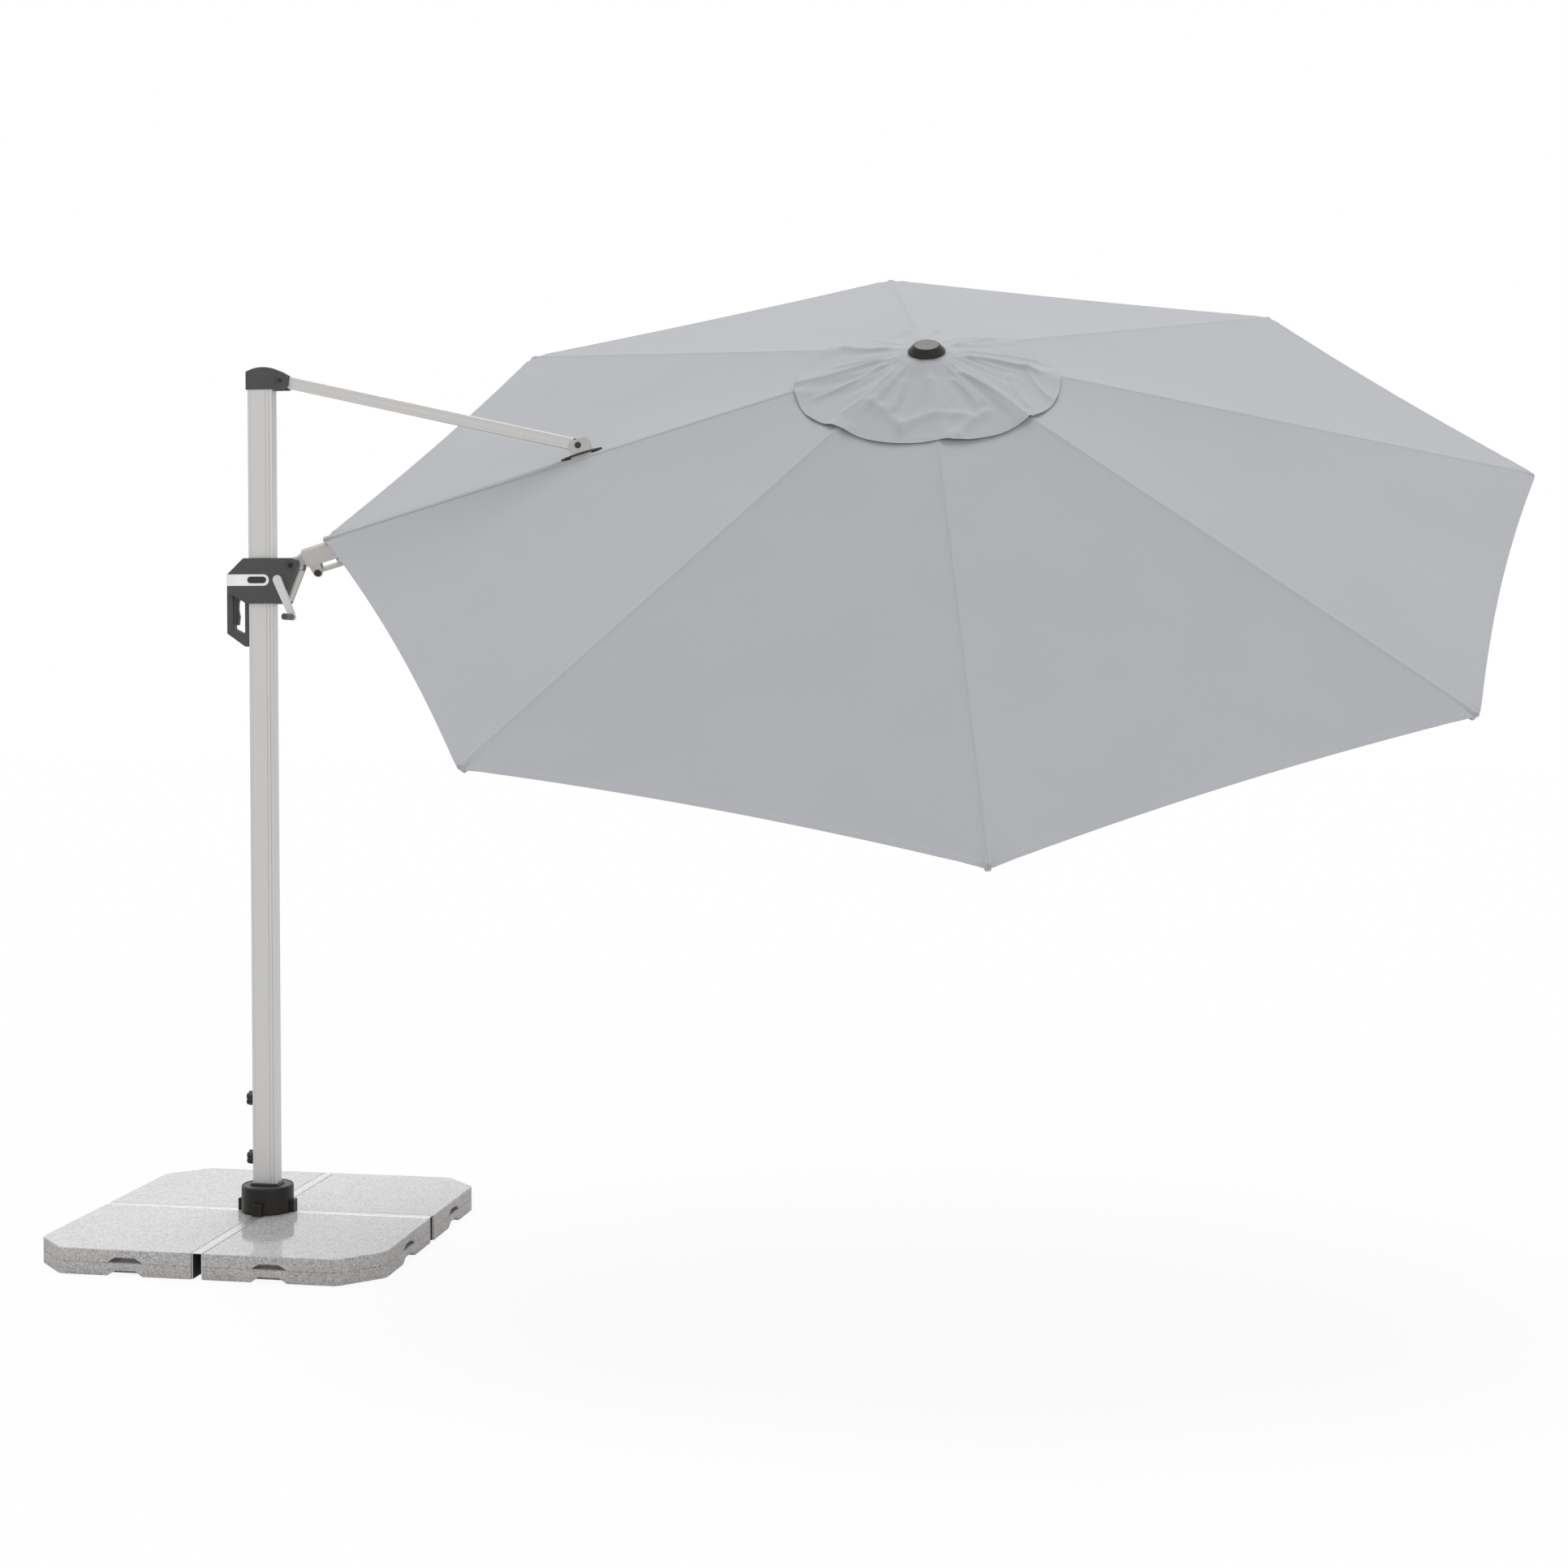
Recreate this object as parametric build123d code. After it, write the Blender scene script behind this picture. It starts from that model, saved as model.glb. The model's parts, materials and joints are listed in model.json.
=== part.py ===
from build123d import *
import os
from math import radians, degrees, sin, cos, tan, atan2, acos, hypot, pi

# Cantilever parasol, millimetres, +Z up.
# The origin is on the ground, under the centre of the base cross and the turning axis of the mast.
# +X runs from the mast to the canopy.

# ---------------------------------------------------------------- driving dimensions
running_gap = 0.06            # radial play of a pin or shaft in its bore
side_gap = 0.3                # play beside a part that swings between two cheeks
seat_gap = 0.2                # play of an insert in its tube

# base
base_half = 504.0             # centre to outer edge of a slab
slab_height = 36.0
slab_corner = 105.0           # legs of the cut outer corner
slab_corner_round = 40.0
slab_edge_break = 2.0
slab_play = 1.4               # slab to cross arm
recess_width = 104.0          # finger recess, at the bottom edge
recess_top_width = 56.0
recess_height = 15.0
recess_depth = 34.0
arm_width = 30.0
arm_wall = 3.0
arm_end_inset = 5.0           # arm end behind the slab's outer face
arm_height = 72.5
foot_plate_reach = 90.0       # bottom plate of the cross, along each arm
foot_plate_height = 4.0
flange_radius = 62.0          # round plate welded on the cross under the housing
flange_height = 6.0
housing_radius = 75.5
housing_height = 78.0
housing_wall = 5.0
housing_round = 5.0
lug_reach = 11.0              # lug beyond the housing's wall
lug_width = 30.0
lug_height = 35.0
spindle_radius = 14.0
spindle_bottom = 8.0
spindle_top = 440.0

# mast
disc_height = 12.0
disc_sink = 1.0               # top of the disc below the housing's rim
boss_height = 6.0
mast_back = -38.5             # face away from the canopy
mast_front = 36.5
mast_depth = 40.0             # across, along Y
mast_wall = 3.0
mast_round = 4.0
mast_top = 2478.0
mast_grooves = ((17.2, 2.0, 1.2), (29.3, 6.0, 1.6), (-28.5, 1.2, 0.6))   # x, width, depth
insert_height = 300.0
clamp_heights = (229.0, 404.0)
star_radius = 21.0
star_thickness = 17.0
star_lobes = 5
star_notch_radius = 7.0
clamp_screw_radius = 5.0
cap_height = 63.0
cap_shoulder = 52.0           # height of the cap's straight sides
cap_overhang = 3.0            # cap beyond the mast's faces
cap_spigot = 40.0
fork_reach = 50.0             # fork beyond the mast's front
fork_wall = 6.0
cap_taper = 14.0               # length over which the cap narrows to the fork
cap_recess_radius = 8.0        # round recess about the strut's pin

# strut
strut_pin_x = 62.0            # upper strut pin
strut_pin_z = 2503.0
strut_depth = 34.5
strut_width = 26.0
strut_wall = 2.5
strut_bar_start = 24.0        # bar's ends, from each pin
strut_bar_end = 17.0
strut_plug = 40.0             # length of an end insert inside the bar
strut_pin_radius = 5.0
strut_nose_radius = 16.5
bracket_pin_radius = 4.0
open_pivot_radius = 10.0      # eye at the strut's foot, wide enough for the linkage's play

# slider
pivot_x = 96.0
pivot_z = 1969.0
shell_half = 38.0
shell_wall = 3.0
shell_back = -98.0
shell_top = 1990.5
shell_bottom = 1859.0
shell_slope_x = -48.0         # where the back slope meets the top
shell_slope_z = 1943.0        # where it meets the back edge
shell_cheek_radius = 22.0
shell_toe_x = 74.0
shell_heel_z = 1893.0
mast_pass = 1.5               # shells around the mast
shell_corner = 6.0             # round corners of the shells' side view
loop_corner = 5.0              # and of the hand loop and its window
strip_short = 4.0              # front strip ends below the round cheek
loop_half = 16.0
loop_back = -107.0
loop_front = -39.6
loop_bottom = 1734.0
loop_chin_z = 1772.0
loop_chin_x = -52.0
window_back = -88.0
window_front = -52.0
window_top_back = 1893.0
window_top_front = 1869.0
window_bottom_back = 1787.0
window_bottom_front = 1769.0
stripe_low = 1910.0
stripe_high = 1943.0
stripe_end = 32.0
stripe_thickness = 1.2
sleeve_wall = 4.0             # inner frame around the mast
sleeve_low = 1872.0
sleeve_high = 1978.0
glide_thickness = 1.6
glide_gap = 0.3
glide_height = 16.0
cheek_wall = 4.0              # inner frame's plates beside the pivot head
head_radius = 22.0
head_half = 14.0
pivot_pin_radius = 7.0
pivot_cap_radius = 8.0
pivot_recess_radius = 16.0
pivot_recess_depth = 2.0
strip_half = 16.0
strip_thickness = 6.0

# crank
crank_x = 60.0
crank_z = 1927.0
crank_length = 117.5
crank_lean = 22.8             # degrees from straight down, towards the canopy
crank_thickness = 10.0
crank_hub_radius = 13.5
crank_tip_radius = 9.5
crank_stand_off = 1.2         # arm off the shell
crank_shaft_radius = 5.0
drum_radius = 13.0
drum_half = 12.0
knob_radius = 9.5
knob_length = 60.0
knob_axle_radius = 3.0

# finger lever in the hand loop
lever_pivot_x = -74.0
lever_pivot_z = 1902.0
lever_half = 7.0
lever_bottom = 1797.0
lever_thickness = 9.0
lever_stub_radius = 3.0

# carrier arm
arm_elevation = 16.34         # degrees above level
side_tilt = 33.35             # degrees that the canopy is rolled towards -Y at rest
roll_rise = 12.5              # roll axis above the slider's pivot, square to the arm
neck_start = 25.0             # all of these are along the roll axis, from the pivot
neck_radius = 16.0
casting_start = 31.0
casting_end = 215.0
casting_half = 20.0
casting_top = 26.5
casting_bottom = 27.5
casting_round = 16.0
spine_nose_inset = 2.0        # raised nose that fills the cloth's corner pocket, ahead of the cloth
neck_spindle_radius = 12.0
neck_spindle_end = 142.0
brake_groove_radius = 10.0
brake_groove_start = 117.0
brake_groove_end = 139.0
lug_x = 56.0
lug_z = -50.0
tilt_lug_radius = 14.0
tilt_lug_half = 14.0
tilt_lug_gap_half = 7.5
tilt_pin_radius = 4.0
tilt_cap_radius = 10.5
tilt_lever_end = 152.0
tilt_lever_thickness = 8.0
tilt_lever_half = 10.0
tilt_upstand_x = 128.0
tilt_upstand_half = 6.0
brake_pin_radius = 3.5
tube_radius = 16.5
tube_wall = 2.5
tube_start = 146.0
spine_half = 8.0
cloth_rise = 40.0             # cloth's underside above the roll axis
spine_gap = 1.4               # spine rail below the cloth
end_fork_length = 60.0        # insert of the end fitting in the tube

# strut bracket
bracket_x = 911.0
bracket_pin_rise = 71.0       # above the roll axis
collar_length = 62.0
collar_wall = 5.0
collar_play = 6.0             # rail cut away beyond the collar
blade_half = 13.0
bracket_back = 27.0           # cheek, behind and ahead of its pin
bracket_ahead = 31.0
bracket_above = 17.3
bracket_corner = 8.0
bracket_wall = 3.0
bracket_floor = 48.5          # underside of the bracket, above the roll axis
bracket_floor_wall = 3.0
slit_flange_length = 124.0
slit_flange_width = 38.0
slit_flange_thickness = 5.5

# canopy
canopy_radius = 1750.0
cloth_corner = 115.0          # the cloth's corner on the carrier, along the roll axis from the pivot
rib_angle = 74.43             # degrees between a rib and the crown's axis
rib_count = 8
hinge_reach = 45.0            # apex to rib hinge, along the rib
hinge_drop = 11.5             # rib hinge below the cloth
rib_depth = 22.0
rib_width = 12.0
rib_wall = 1.5
rib_eye_radius = 8.0
rib_tip_inset = 10.6          # rib's end short of the cloth's corner
stretcher_reach = 620.0       # rib hinge to stretcher pin; also the stretcher's length
stretcher_depth = 15.0
stretcher_fork = 130.0
stretcher_fork_wall = 2.5
hinge_pin_radius = 2.5
open_hinge_radius = 3.2
crown_radius = 50.0
crown_core_radius = 26.0
crown_above = 6.5             # hub above and below the hinge circle
crown_below = 8.0
crown_play = 6.0              # crown hub to the carrier's end when folded
hub_below = 9.0
spigot_radius = 9.0
spigot_top = 2.0
finial_radius = 52.0
finial_top_radius = 35.5
finial_rise = 11.5             # its top above the apex
finial_rim = 4.5               # height of its lower rim
finial_edge = 1.2              # its rounded edges
finial_gap = 0.3               # between its hollow underside and the vent cap
cloth_thickness = 1.2
cloth_hole = 12.0
cloth_split = 0.3             # half the gap between two panels
rim_sag = 23.0                # how far a rim edge curves in
vent_radius = 372.0
vent_rise_in = 1.6            # vent cap above the cloth at the crown
vent_rise_out = 9.0            # and at its rim
slit_half = 24.0              # opening in the cloth round the strut's bracket
slit_length = 150.0

# ---------------------------------------------------------------- worked out from them
mast_mid = (mast_back + mast_front) / 2
mast_half_x = (mast_front - mast_back) / 2
mast_half_y = mast_depth / 2
deck = arm_height + flange_height
housing_low = arm_height + 0.3
rim_z = housing_low + housing_height
disc_top = rim_z - disc_sink
mast_bottom = disc_top + boss_height
bend = radians(arm_elevation)
axis_out = Vector(cos(bend), 0, sin(bend))
axis_up = Vector(-sin(bend), 0, cos(bend))
roll_origin = Vector(pivot_x, 0, pivot_z) + axis_up * roll_rise
rolled_up = axis_up.rotate(Axis((0, 0, 0), axis_out), side_tilt)
arm_frame = Plane(origin=roll_origin, x_dir=axis_out, z_dir=axis_up)
carrier_frame = Plane(origin=roll_origin, x_dir=axis_out, z_dir=rolled_up)
spread = radians(rib_angle)
cloth_length = canopy_radius / sin(spread)
canopy_reach = cloth_corner + cloth_length
rib_end = cloth_length - rib_tip_inset
crown_frame = Plane(
    origin=carrier_frame.from_local_coords(Vector(canopy_reach, 0, cloth_rise)),
    x_dir=(carrier_frame.x_dir * sin(spread) - carrier_frame.z_dir * cos(spread)),
    z_dir=(carrier_frame.x_dir * cos(spread) + carrier_frame.z_dir * sin(spread)),
)
hinge_radius = hinge_reach * sin(spread) - hinge_drop * cos(spread)
hinge_z = -hinge_reach * cos(spread) - hinge_drop * sin(spread)
hub_drop = 2 * stretcher_reach * cos(spread)
strut_foot = roll_origin + axis_out * bracket_x + axis_up * bracket_pin_rise
strut_line = strut_foot - Vector(strut_pin_x, 0, strut_pin_z)
strut_length = strut_line.length
strut_up = Vector(0, -1, 0).cross(strut_line.normalized()) * -1
strut_frame = Plane(origin=(strut_pin_x, 0, strut_pin_z), x_dir=strut_line.normalized(),
                    z_dir=Vector(-strut_line.Z, 0, strut_line.X).normalized())


# ---------------------------------------------------------------- small helpers
def block(x, y, z):
    """A box from its ranges."""
    size = (x[1] - x[0], y[1] - y[0], z[1] - z[0])
    middle = ((x[0] + x[1]) / 2, (y[0] + y[1]) / 2, (z[0] + z[1]) / 2)
    return Pos(*middle) * Box(*size)


def rod(radius, start, end):
    """A round bar between two points."""
    line = Vector(*end) - Vector(*start)
    return extrude(Plane(origin=start, z_dir=line) * Circle(radius), line.length)


def side_plate(points, y):
    """A plate from (x, z) points, square to Y."""
    face = make_face(Polyline(*[(px, y[0], pz) for px, pz in points], close=True))
    return extrude(face, y[1] - y[0], dir=(0, 1, 0))


def pin_y(radius, x, z, y):
    """A round bar along Y."""
    return rod(radius, (x, y[0], z), (x, y[1], z))


def soften(part, amount, axis, keep=None):
    """Rounds the edges along one axis."""
    edges = part.edges().filter_by(axis)
    if keep is not None:
        edges = edges.filter_by(keep)
    return fillet(edges, amount)


def save(name, part):
    """Writes one sub-part."""
    export_step(part, f"parts/{name}.step")


# ---------------------------------------------------------------- base
def slab(height_index, quadrant):
    """One granite slab; quadrant 0 is +X +Y, then counter-clockwise."""
    near = arm_width / 2 + slab_play
    body = block((near, base_half), (near, base_half), (0, slab_height))
    corner = body.edges().filter_by(Axis.Z).sort_by(lambda e: e.center().X + e.center().Y)[-1]
    body = chamfer(corner, slab_corner)
    outer = [e for e in body.edges().filter_by(Axis.Z)
             if e.center().X + e.center().Y > 2 * base_half - 1.5 * slab_corner]
    body = fillet(outer, slab_corner_round)
    middle = (near + base_half - slab_corner) / 2
    half, top = recess_width / 2, recess_top_width / 2
    arch = make_face(Polyline((middle - half, -1), (middle - half, 0), (middle - top, recess_height),
                              (middle + top, recess_height), (middle + half, 0), (middle + half, -1),
                              close=True))
    outer_face = Plane(origin=(0, base_half, 0), x_dir=(1, 0, 0), z_dir=(0, -1, 0))
    notch = extrude(outer_face * arch, recess_depth, both=True)
    body = body - notch - mirror(notch, Plane(origin=(0, 0, 0), z_dir=(1, -1, 0)))
    rim = body.faces().sort_by(Axis.Z)[-1].edges()
    body = chamfer(rim, slab_edge_break)
    return Rot(0, 0, 90 * quadrant) * Pos(0, 0, slab_height * height_index) * body


def slab_layer(height_index):
    return Compound([slab(height_index, quadrant) for quadrant in range(4)])


def cross_frame():
    reach = base_half - arm_end_inset
    half = arm_width / 2
    inner = half - arm_wall
    arm = block((-reach, reach), (-half, half), (0, arm_height))
    arm = fillet(arm.faces().sort_by(Axis.Z)[-1].edges().filter_by(Axis.X), arm_wall - 1)
    hollow = block((-reach - 1, reach + 1), (-inner, inner), (-1, arm_height - arm_wall))
    turn = Rot(0, 0, 90)
    body = arm + turn * arm - hollow - turn * hollow
    plate = block((-foot_plate_reach, foot_plate_reach), (-half, half), (0, foot_plate_height))
    body = body + plate + turn * plate
    body = body + Pos(0, 0, arm_height + flange_height / 2) * Cylinder(flange_radius, flange_height)
    body = body - rod(spindle_radius, (0, 0, foot_plate_height + 1), (0, 0, deck + 1))
    return body


def base_spindle():
    low = foot_plate_height + 1
    body = rod(spindle_radius, (0, 0, low), (0, 0, spindle_top))
    body = chamfer(body.faces().sort_by(Axis.Z)[-1].edges(), 2)
    return body


def swivel_housing():
    body = Pos(0, 0, housing_low + housing_height / 2) * Cylinder(housing_radius, housing_height)
    reach = housing_radius + lug_reach
    lug = block((0, reach), (-lug_width / 2, lug_width / 2), (housing_low, housing_low + lug_height))
    lug = fillet(lug.faces().sort_by(Axis.X)[-1].edges(), 3)
    for quarter in range(4):
        body = body + Rot(0, 0, 90 * quarter) * lug
    body = fillet(body.faces().sort_by(Axis.Z)[-1].outer_wire().edges(), housing_round)
    inside = housing_radius - housing_wall
    seat_z = disc_top - disc_height
    body = body - rod(inside, (0, 0, seat_z), (0, 0, rim_z + 1))
    body = body - rod(inside - housing_wall, (0, 0, deck + housing_wall), (0, 0, seat_z + 1))
    body = body - rod(flange_radius + seat_gap, (0, 0, housing_low - 1), (0, 0, deck))
    body = body - rod(spindle_radius + 1, (0, 0, deck - 1), (0, 0, rim_z))
    return body


def swivel_disc():
    radius = housing_radius - housing_wall - side_gap
    low = disc_top - disc_height + side_gap
    body = rod(radius, (0, 0, low), (0, 0, disc_top))
    body = fillet(body.faces().sort_by(Axis.Z)[-1].edges(), 2)
    margin = 7.0
    boss = block((mast_back - margin, mast_front + margin), (-mast_half_y - margin, mast_half_y + margin),
                 (disc_top - 1, mast_bottom))
    boss = soften(boss, margin, Axis.Z)
    boss = chamfer(boss.faces().sort_by(Axis.Z)[-1].edges(), boss_height / 2)
    body = body + boss
    return body - rod(spindle_radius + running_gap, (0, 0, low - 1), (0, 0, mast_bottom + 1))


# ---------------------------------------------------------------- mast
def mast_section(inset):
    shape = Rectangle(2 * (mast_half_x - inset), 2 * (mast_half_y - inset))
    shape = fillet(shape.vertices(), max(mast_round - inset / 2, 0.8))
    return Pos(mast_mid, 0) * shape


def mast_tube():
    section = mast_section(0) - mast_section(mast_wall)
    for x, width, depth in mast_grooves:
        for side in (-1, 1):
            section = section - Pos(x, side * (mast_half_y - depth / 2 + 1)) * Rectangle(width, depth + 2)
    body = extrude(Pos(0, 0, mast_bottom) * section, mast_top - mast_bottom)
    for z in clamp_heights:
        body = body - rod(clamp_screw_radius + 1, (mast_back - 1, 0, z), (mast_back + mast_wall + 1, 0, z))
    return body


def foot_insert():
    section = mast_section(mast_wall + seat_gap)
    body = extrude(Pos(0, 0, mast_bottom) * section, insert_height)
    body = body - rod(spindle_radius + running_gap, (0, 0, mast_bottom - 1), (0, 0, spindle_top + 2))
    for z in clamp_heights:
        body = body - rod(clamp_screw_radius + running_gap, (mast_back, 0, z), (0, 0, z))
    return body


def clamp_knob(z):
    """Star head outside the mast with its screw, which ends just short of the spindle."""
    gap = 1.5
    outer = mast_back - gap
    head = rod(star_radius, (outer - star_thickness, 0, z), (outer, 0, z))
    for lobe in range(star_lobes):
        angle = 2 * pi * (lobe + 0.5) / star_lobes
        y, dz = (star_radius + 2) * cos(angle), (star_radius + 2) * sin(angle)
        head = head - rod(star_notch_radius, (outer - star_thickness - 1, y, z + dz), (outer + 1, y, z + dz))
    head = fillet(head.faces().sort_by(Axis.X)[0].edges(), 2)
    screw = rod(clamp_screw_radius, (outer - 1, 0, z), (-spindle_radius - side_gap, 0, z))
    return head + screw


def mast_cap():
    back = mast_back - cap_overhang
    front = mast_front + 2
    half = mast_half_y + cap_overhang
    low, high = mast_top, mast_top + cap_height
    fork_end = mast_front + fork_reach
    outline = make_face([
        Line((back, 0, low), (back, 0, low + cap_shoulder)),
        ThreePointArc((back, 0, low + cap_shoulder), (mast_mid - 8, 0, high), (front + 20, 0, high - 10)),
        Line((front + 20, 0, high - 10), (fork_end - 8, 0, low + 42)),
        ThreePointArc((fork_end - 8, 0, low + 42), (fork_end - 2, 0, low + 38), (fork_end, 0, low + 32)),
        Line((fork_end, 0, low + 32), (fork_end, 0, low + 12)),
        Line((fork_end, 0, low + 12), (fork_end - 9, 0, low)),
        Line((fork_end - 9, 0, low), (back, 0, low)),
    ])
    body = extrude(outline, half, both=True, dir=(0, 1, 0))
    waist = half - 3.0
    flank = Polyline((front - cap_taper / 2, half), (front + cap_taper / 2, waist), (fork_end + 1, waist),
                     (fork_end + 1, half + 1), (front - cap_taper / 2, half + 1), close=True)
    flank = extrude(Pos(0, 0, low - 1) * make_face(flank), cap_height + 2)
    body = body - flank - mirror(flank, Plane.XZ)
    gap = strut_width / 2 + side_gap
    body = body - block((front + 1, fork_end + 1), (-gap, gap), (low - 1, high + 1))
    body = fillet(body.edges().filter_by(GeomType.CIRCLE).group_by(Axis.Z)[-1], 2.5)
    spigot = extrude(Pos(0, 0, low - cap_spigot) * mast_section(mast_wall + seat_gap), cap_spigot)
    body = body + spigot
    body = body - pin_y(strut_pin_radius, strut_pin_x, strut_pin_z, (-half, half))
    for side in (-1, 1):
        y = (side * (waist - 1.5), side * (half + 1))
        body = body - pin_y(cap_recess_radius, strut_pin_x, strut_pin_z, y)
    for level in (12.0, 22.0, 32.0):
        for side in (-1, 1):
            y = (waist - 1.2, waist + 1) if side > 0 else (-waist - 1, -waist + 1.2)
            body = body - block((front + 8, front + 15), y, (low + level, low + level + 6))
    return body


def cap_pin():
    half = mast_half_y + cap_overhang - 5
    return pin_y(strut_pin_radius, strut_pin_x, strut_pin_z, (-half, half))


# ---------------------------------------------------------------- strut
def strut_bar():
    section = Rectangle(strut_width, strut_depth)
    section = fillet(section.vertices(), 3)
    inner = Rectangle(strut_width - 2 * strut_wall, strut_depth - 2 * strut_wall)
    section = section - inner
    for level in (-8.0, 8.0):
        for side in (-1, 1):
            section = section - Pos(side * strut_width / 2, level) * Rectangle(1.4, 2.4)
    length = strut_length - strut_bar_start - strut_bar_end
    cut = Plane(origin=(strut_bar_start, 0, 0), x_dir=(0, 1, 0), z_dir=(1, 0, 0))
    return strut_frame.location * extrude(cut * section, length)


def strut_ends():
    """Plastic inserts: a round head on the upper pin and a nose between the bracket's cheeks."""
    half = strut_width / 2
    depth = strut_depth / 2 - strut_wall - seat_gap
    width = half - strut_wall - seat_gap
    head = rod(strut_depth / 2 - 1, (0, -half, 0), (0, half, 0))
    head = head + block((0, strut_bar_start), (-half, half), (-strut_depth / 2 + 1, strut_depth / 2 - 1))
    head = head + block((strut_bar_start - 1, strut_bar_start + strut_plug), (-width, width), (-depth, depth))
    head = head - rod(strut_pin_radius + running_gap, (0, -half - 1, 0), (0, half + 1, 0))
    end = strut_length - strut_bar_end
    nose = rod(strut_nose_radius, (strut_length, -half, 0), (strut_length, half, 0))
    nose = nose + block((end, strut_length), (-half, half), (-strut_nose_radius, strut_nose_radius))
    nose = nose + block((end - strut_plug, end + 1), (-width, width), (-depth, depth))
    nose = nose - rod(open_pivot_radius, (strut_length, -half - 1, 0), (strut_length, half + 1, 0))
    return Compound([strut_frame.location * head, strut_frame.location * nose])


# ---------------------------------------------------------------- slider
def shell_outline(inset):
    """Side view of the slider's shells, with a round cheek about the pivot."""
    radius = shell_cheek_radius - inset
    toe = Vector(shell_toe_x, shell_bottom)
    centre = Vector(pivot_x, pivot_z)
    reach = (toe - centre)
    lean = atan2(reach.Y, reach.X) + acos(shell_cheek_radius / reach.length)
    touch = centre + Vector(cos(lean), sin(lean)) * radius
    across = Vector(cos(lean), sin(lean))
    toe = toe - across * inset
    points = [(touch.X, touch.Y), (toe.X, shell_bottom + inset), (mast_back - 2, shell_bottom + inset),
              (shell_back + inset, shell_heel_z + inset / 2), (shell_back + inset, shell_slope_z),
              (shell_slope_x, shell_top - inset), (pivot_x, shell_top - inset)]
    lines = [Line((a[0], 0, a[1]), (b[0], 0, b[1])) for a, b in zip(points, points[1:])]
    middle = (lean + pi / 2) / 2
    lines.append(ThreePointArc((pivot_x, 0, shell_top - inset),
                               (pivot_x + radius * cos(middle), 0, pivot_z + radius * sin(middle)),
                               (touch.X, 0, touch.Y)))
    face = make_face(lines)
    corners = [v for v in face.vertices() if v.center().X < shell_toe_x + 2]
    return fillet(corners, shell_corner - inset)


def loop_solid():
    root = lever_pivot_z + 10
    outer = [(loop_back, shell_heel_z), (loop_back, loop_chin_z), (loop_chin_x, loop_bottom),
             (loop_front, loop_bottom), (loop_front, root), (shell_back + shell_wall, root)]
    body = side_plate(outer, (-loop_half, loop_half))
    body = fillet([e for e in body.edges().filter_by(Axis.Y) if e.center().Z < loop_chin_z + 1], loop_corner)
    window = [(window_back, window_top_back), (window_front, window_top_front),
              (window_front, window_bottom_front),
              (window_back, window_bottom_back)]
    hole = side_plate(window, (-loop_half - 1, loop_half + 1))
    hole = fillet(hole.edges().filter_by(Axis.Y), loop_corner)
    body = body - hole
    grip = [e for e in body.edges() if abs(e.center().Y) > loop_half - 0.5]
    return fillet(grip, 2.5)


def slider_body():
    """Both shells in one piece, before they are split along the middle."""
    body = extrude(shell_outline(0), shell_half, both=True, dir=(0, 1, 0))
    body = fillet([e for e in body.edges() if abs(e.center().Y) > shell_half - 0.5], 4)
    hollow = extrude(shell_outline(shell_wall), shell_half - shell_wall, both=True, dir=(0, 1, 0))
    loop_y = (-loop_half - 1, loop_half + 1)
    loop = loop_solid() - block((mast_back - 2, mast_front), loop_y, (0, shell_top))
    sleeve_back = mast_back - glide_gap - glide_thickness - sleeve_wall - side_gap
    loop = loop - block((sleeve_back, mast_front), loop_y, (sleeve_low - side_gap, shell_top))
    lever_way = block((window_back, lever_pivot_x + 12), (-lever_half - 1, lever_half + 1),
                      (window_top_front - 20, shell_slope_z))
    body = body - hollow + loop - lever_way
    way_x = (mast_back - mast_pass, mast_front + mast_pass)
    way_y = (-mast_half_y - mast_pass, mast_half_y + mast_pass)
    body = body - block(way_x, way_y, (shell_bottom - 1, shell_top + 1))
    slot = head_half + 1.5
    body = body - block((pivot_x - head_radius - 4, pivot_x + 60), (-slot, slot), (pivot_z - head_radius - 4, shell_top + 1))
    recess = shell_half - pivot_recess_depth
    for side in (-1, 1):
        y = (side * recess, side * (shell_half + 1))
        body = body - pin_y(pivot_recess_radius, pivot_x, pivot_z, y)
    body = body - pin_y(pivot_pin_radius, pivot_x, pivot_z, (-shell_half, shell_half))
    body = body - pin_y(crank_shaft_radius + running_gap, crank_x, crank_z, (-shell_half - 1, 0))
    body = body - pin_y(lever_stub_radius + running_gap, lever_pivot_x, lever_pivot_z, (-lever_half - 4, lever_half + 4))
    return body


def half_space(y):
    """Everything round the slider on one side of its middle."""
    reach = shell_half + pivot_x
    return block((loop_back - 1, pivot_x + reach), y, (loop_bottom - 1, shell_top + 1))


def housing_front():
    return slider_body() - half_space((0, shell_half + 1))


def housing_rear():
    return slider_body() - half_space((-shell_half - 1, 0))


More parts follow.
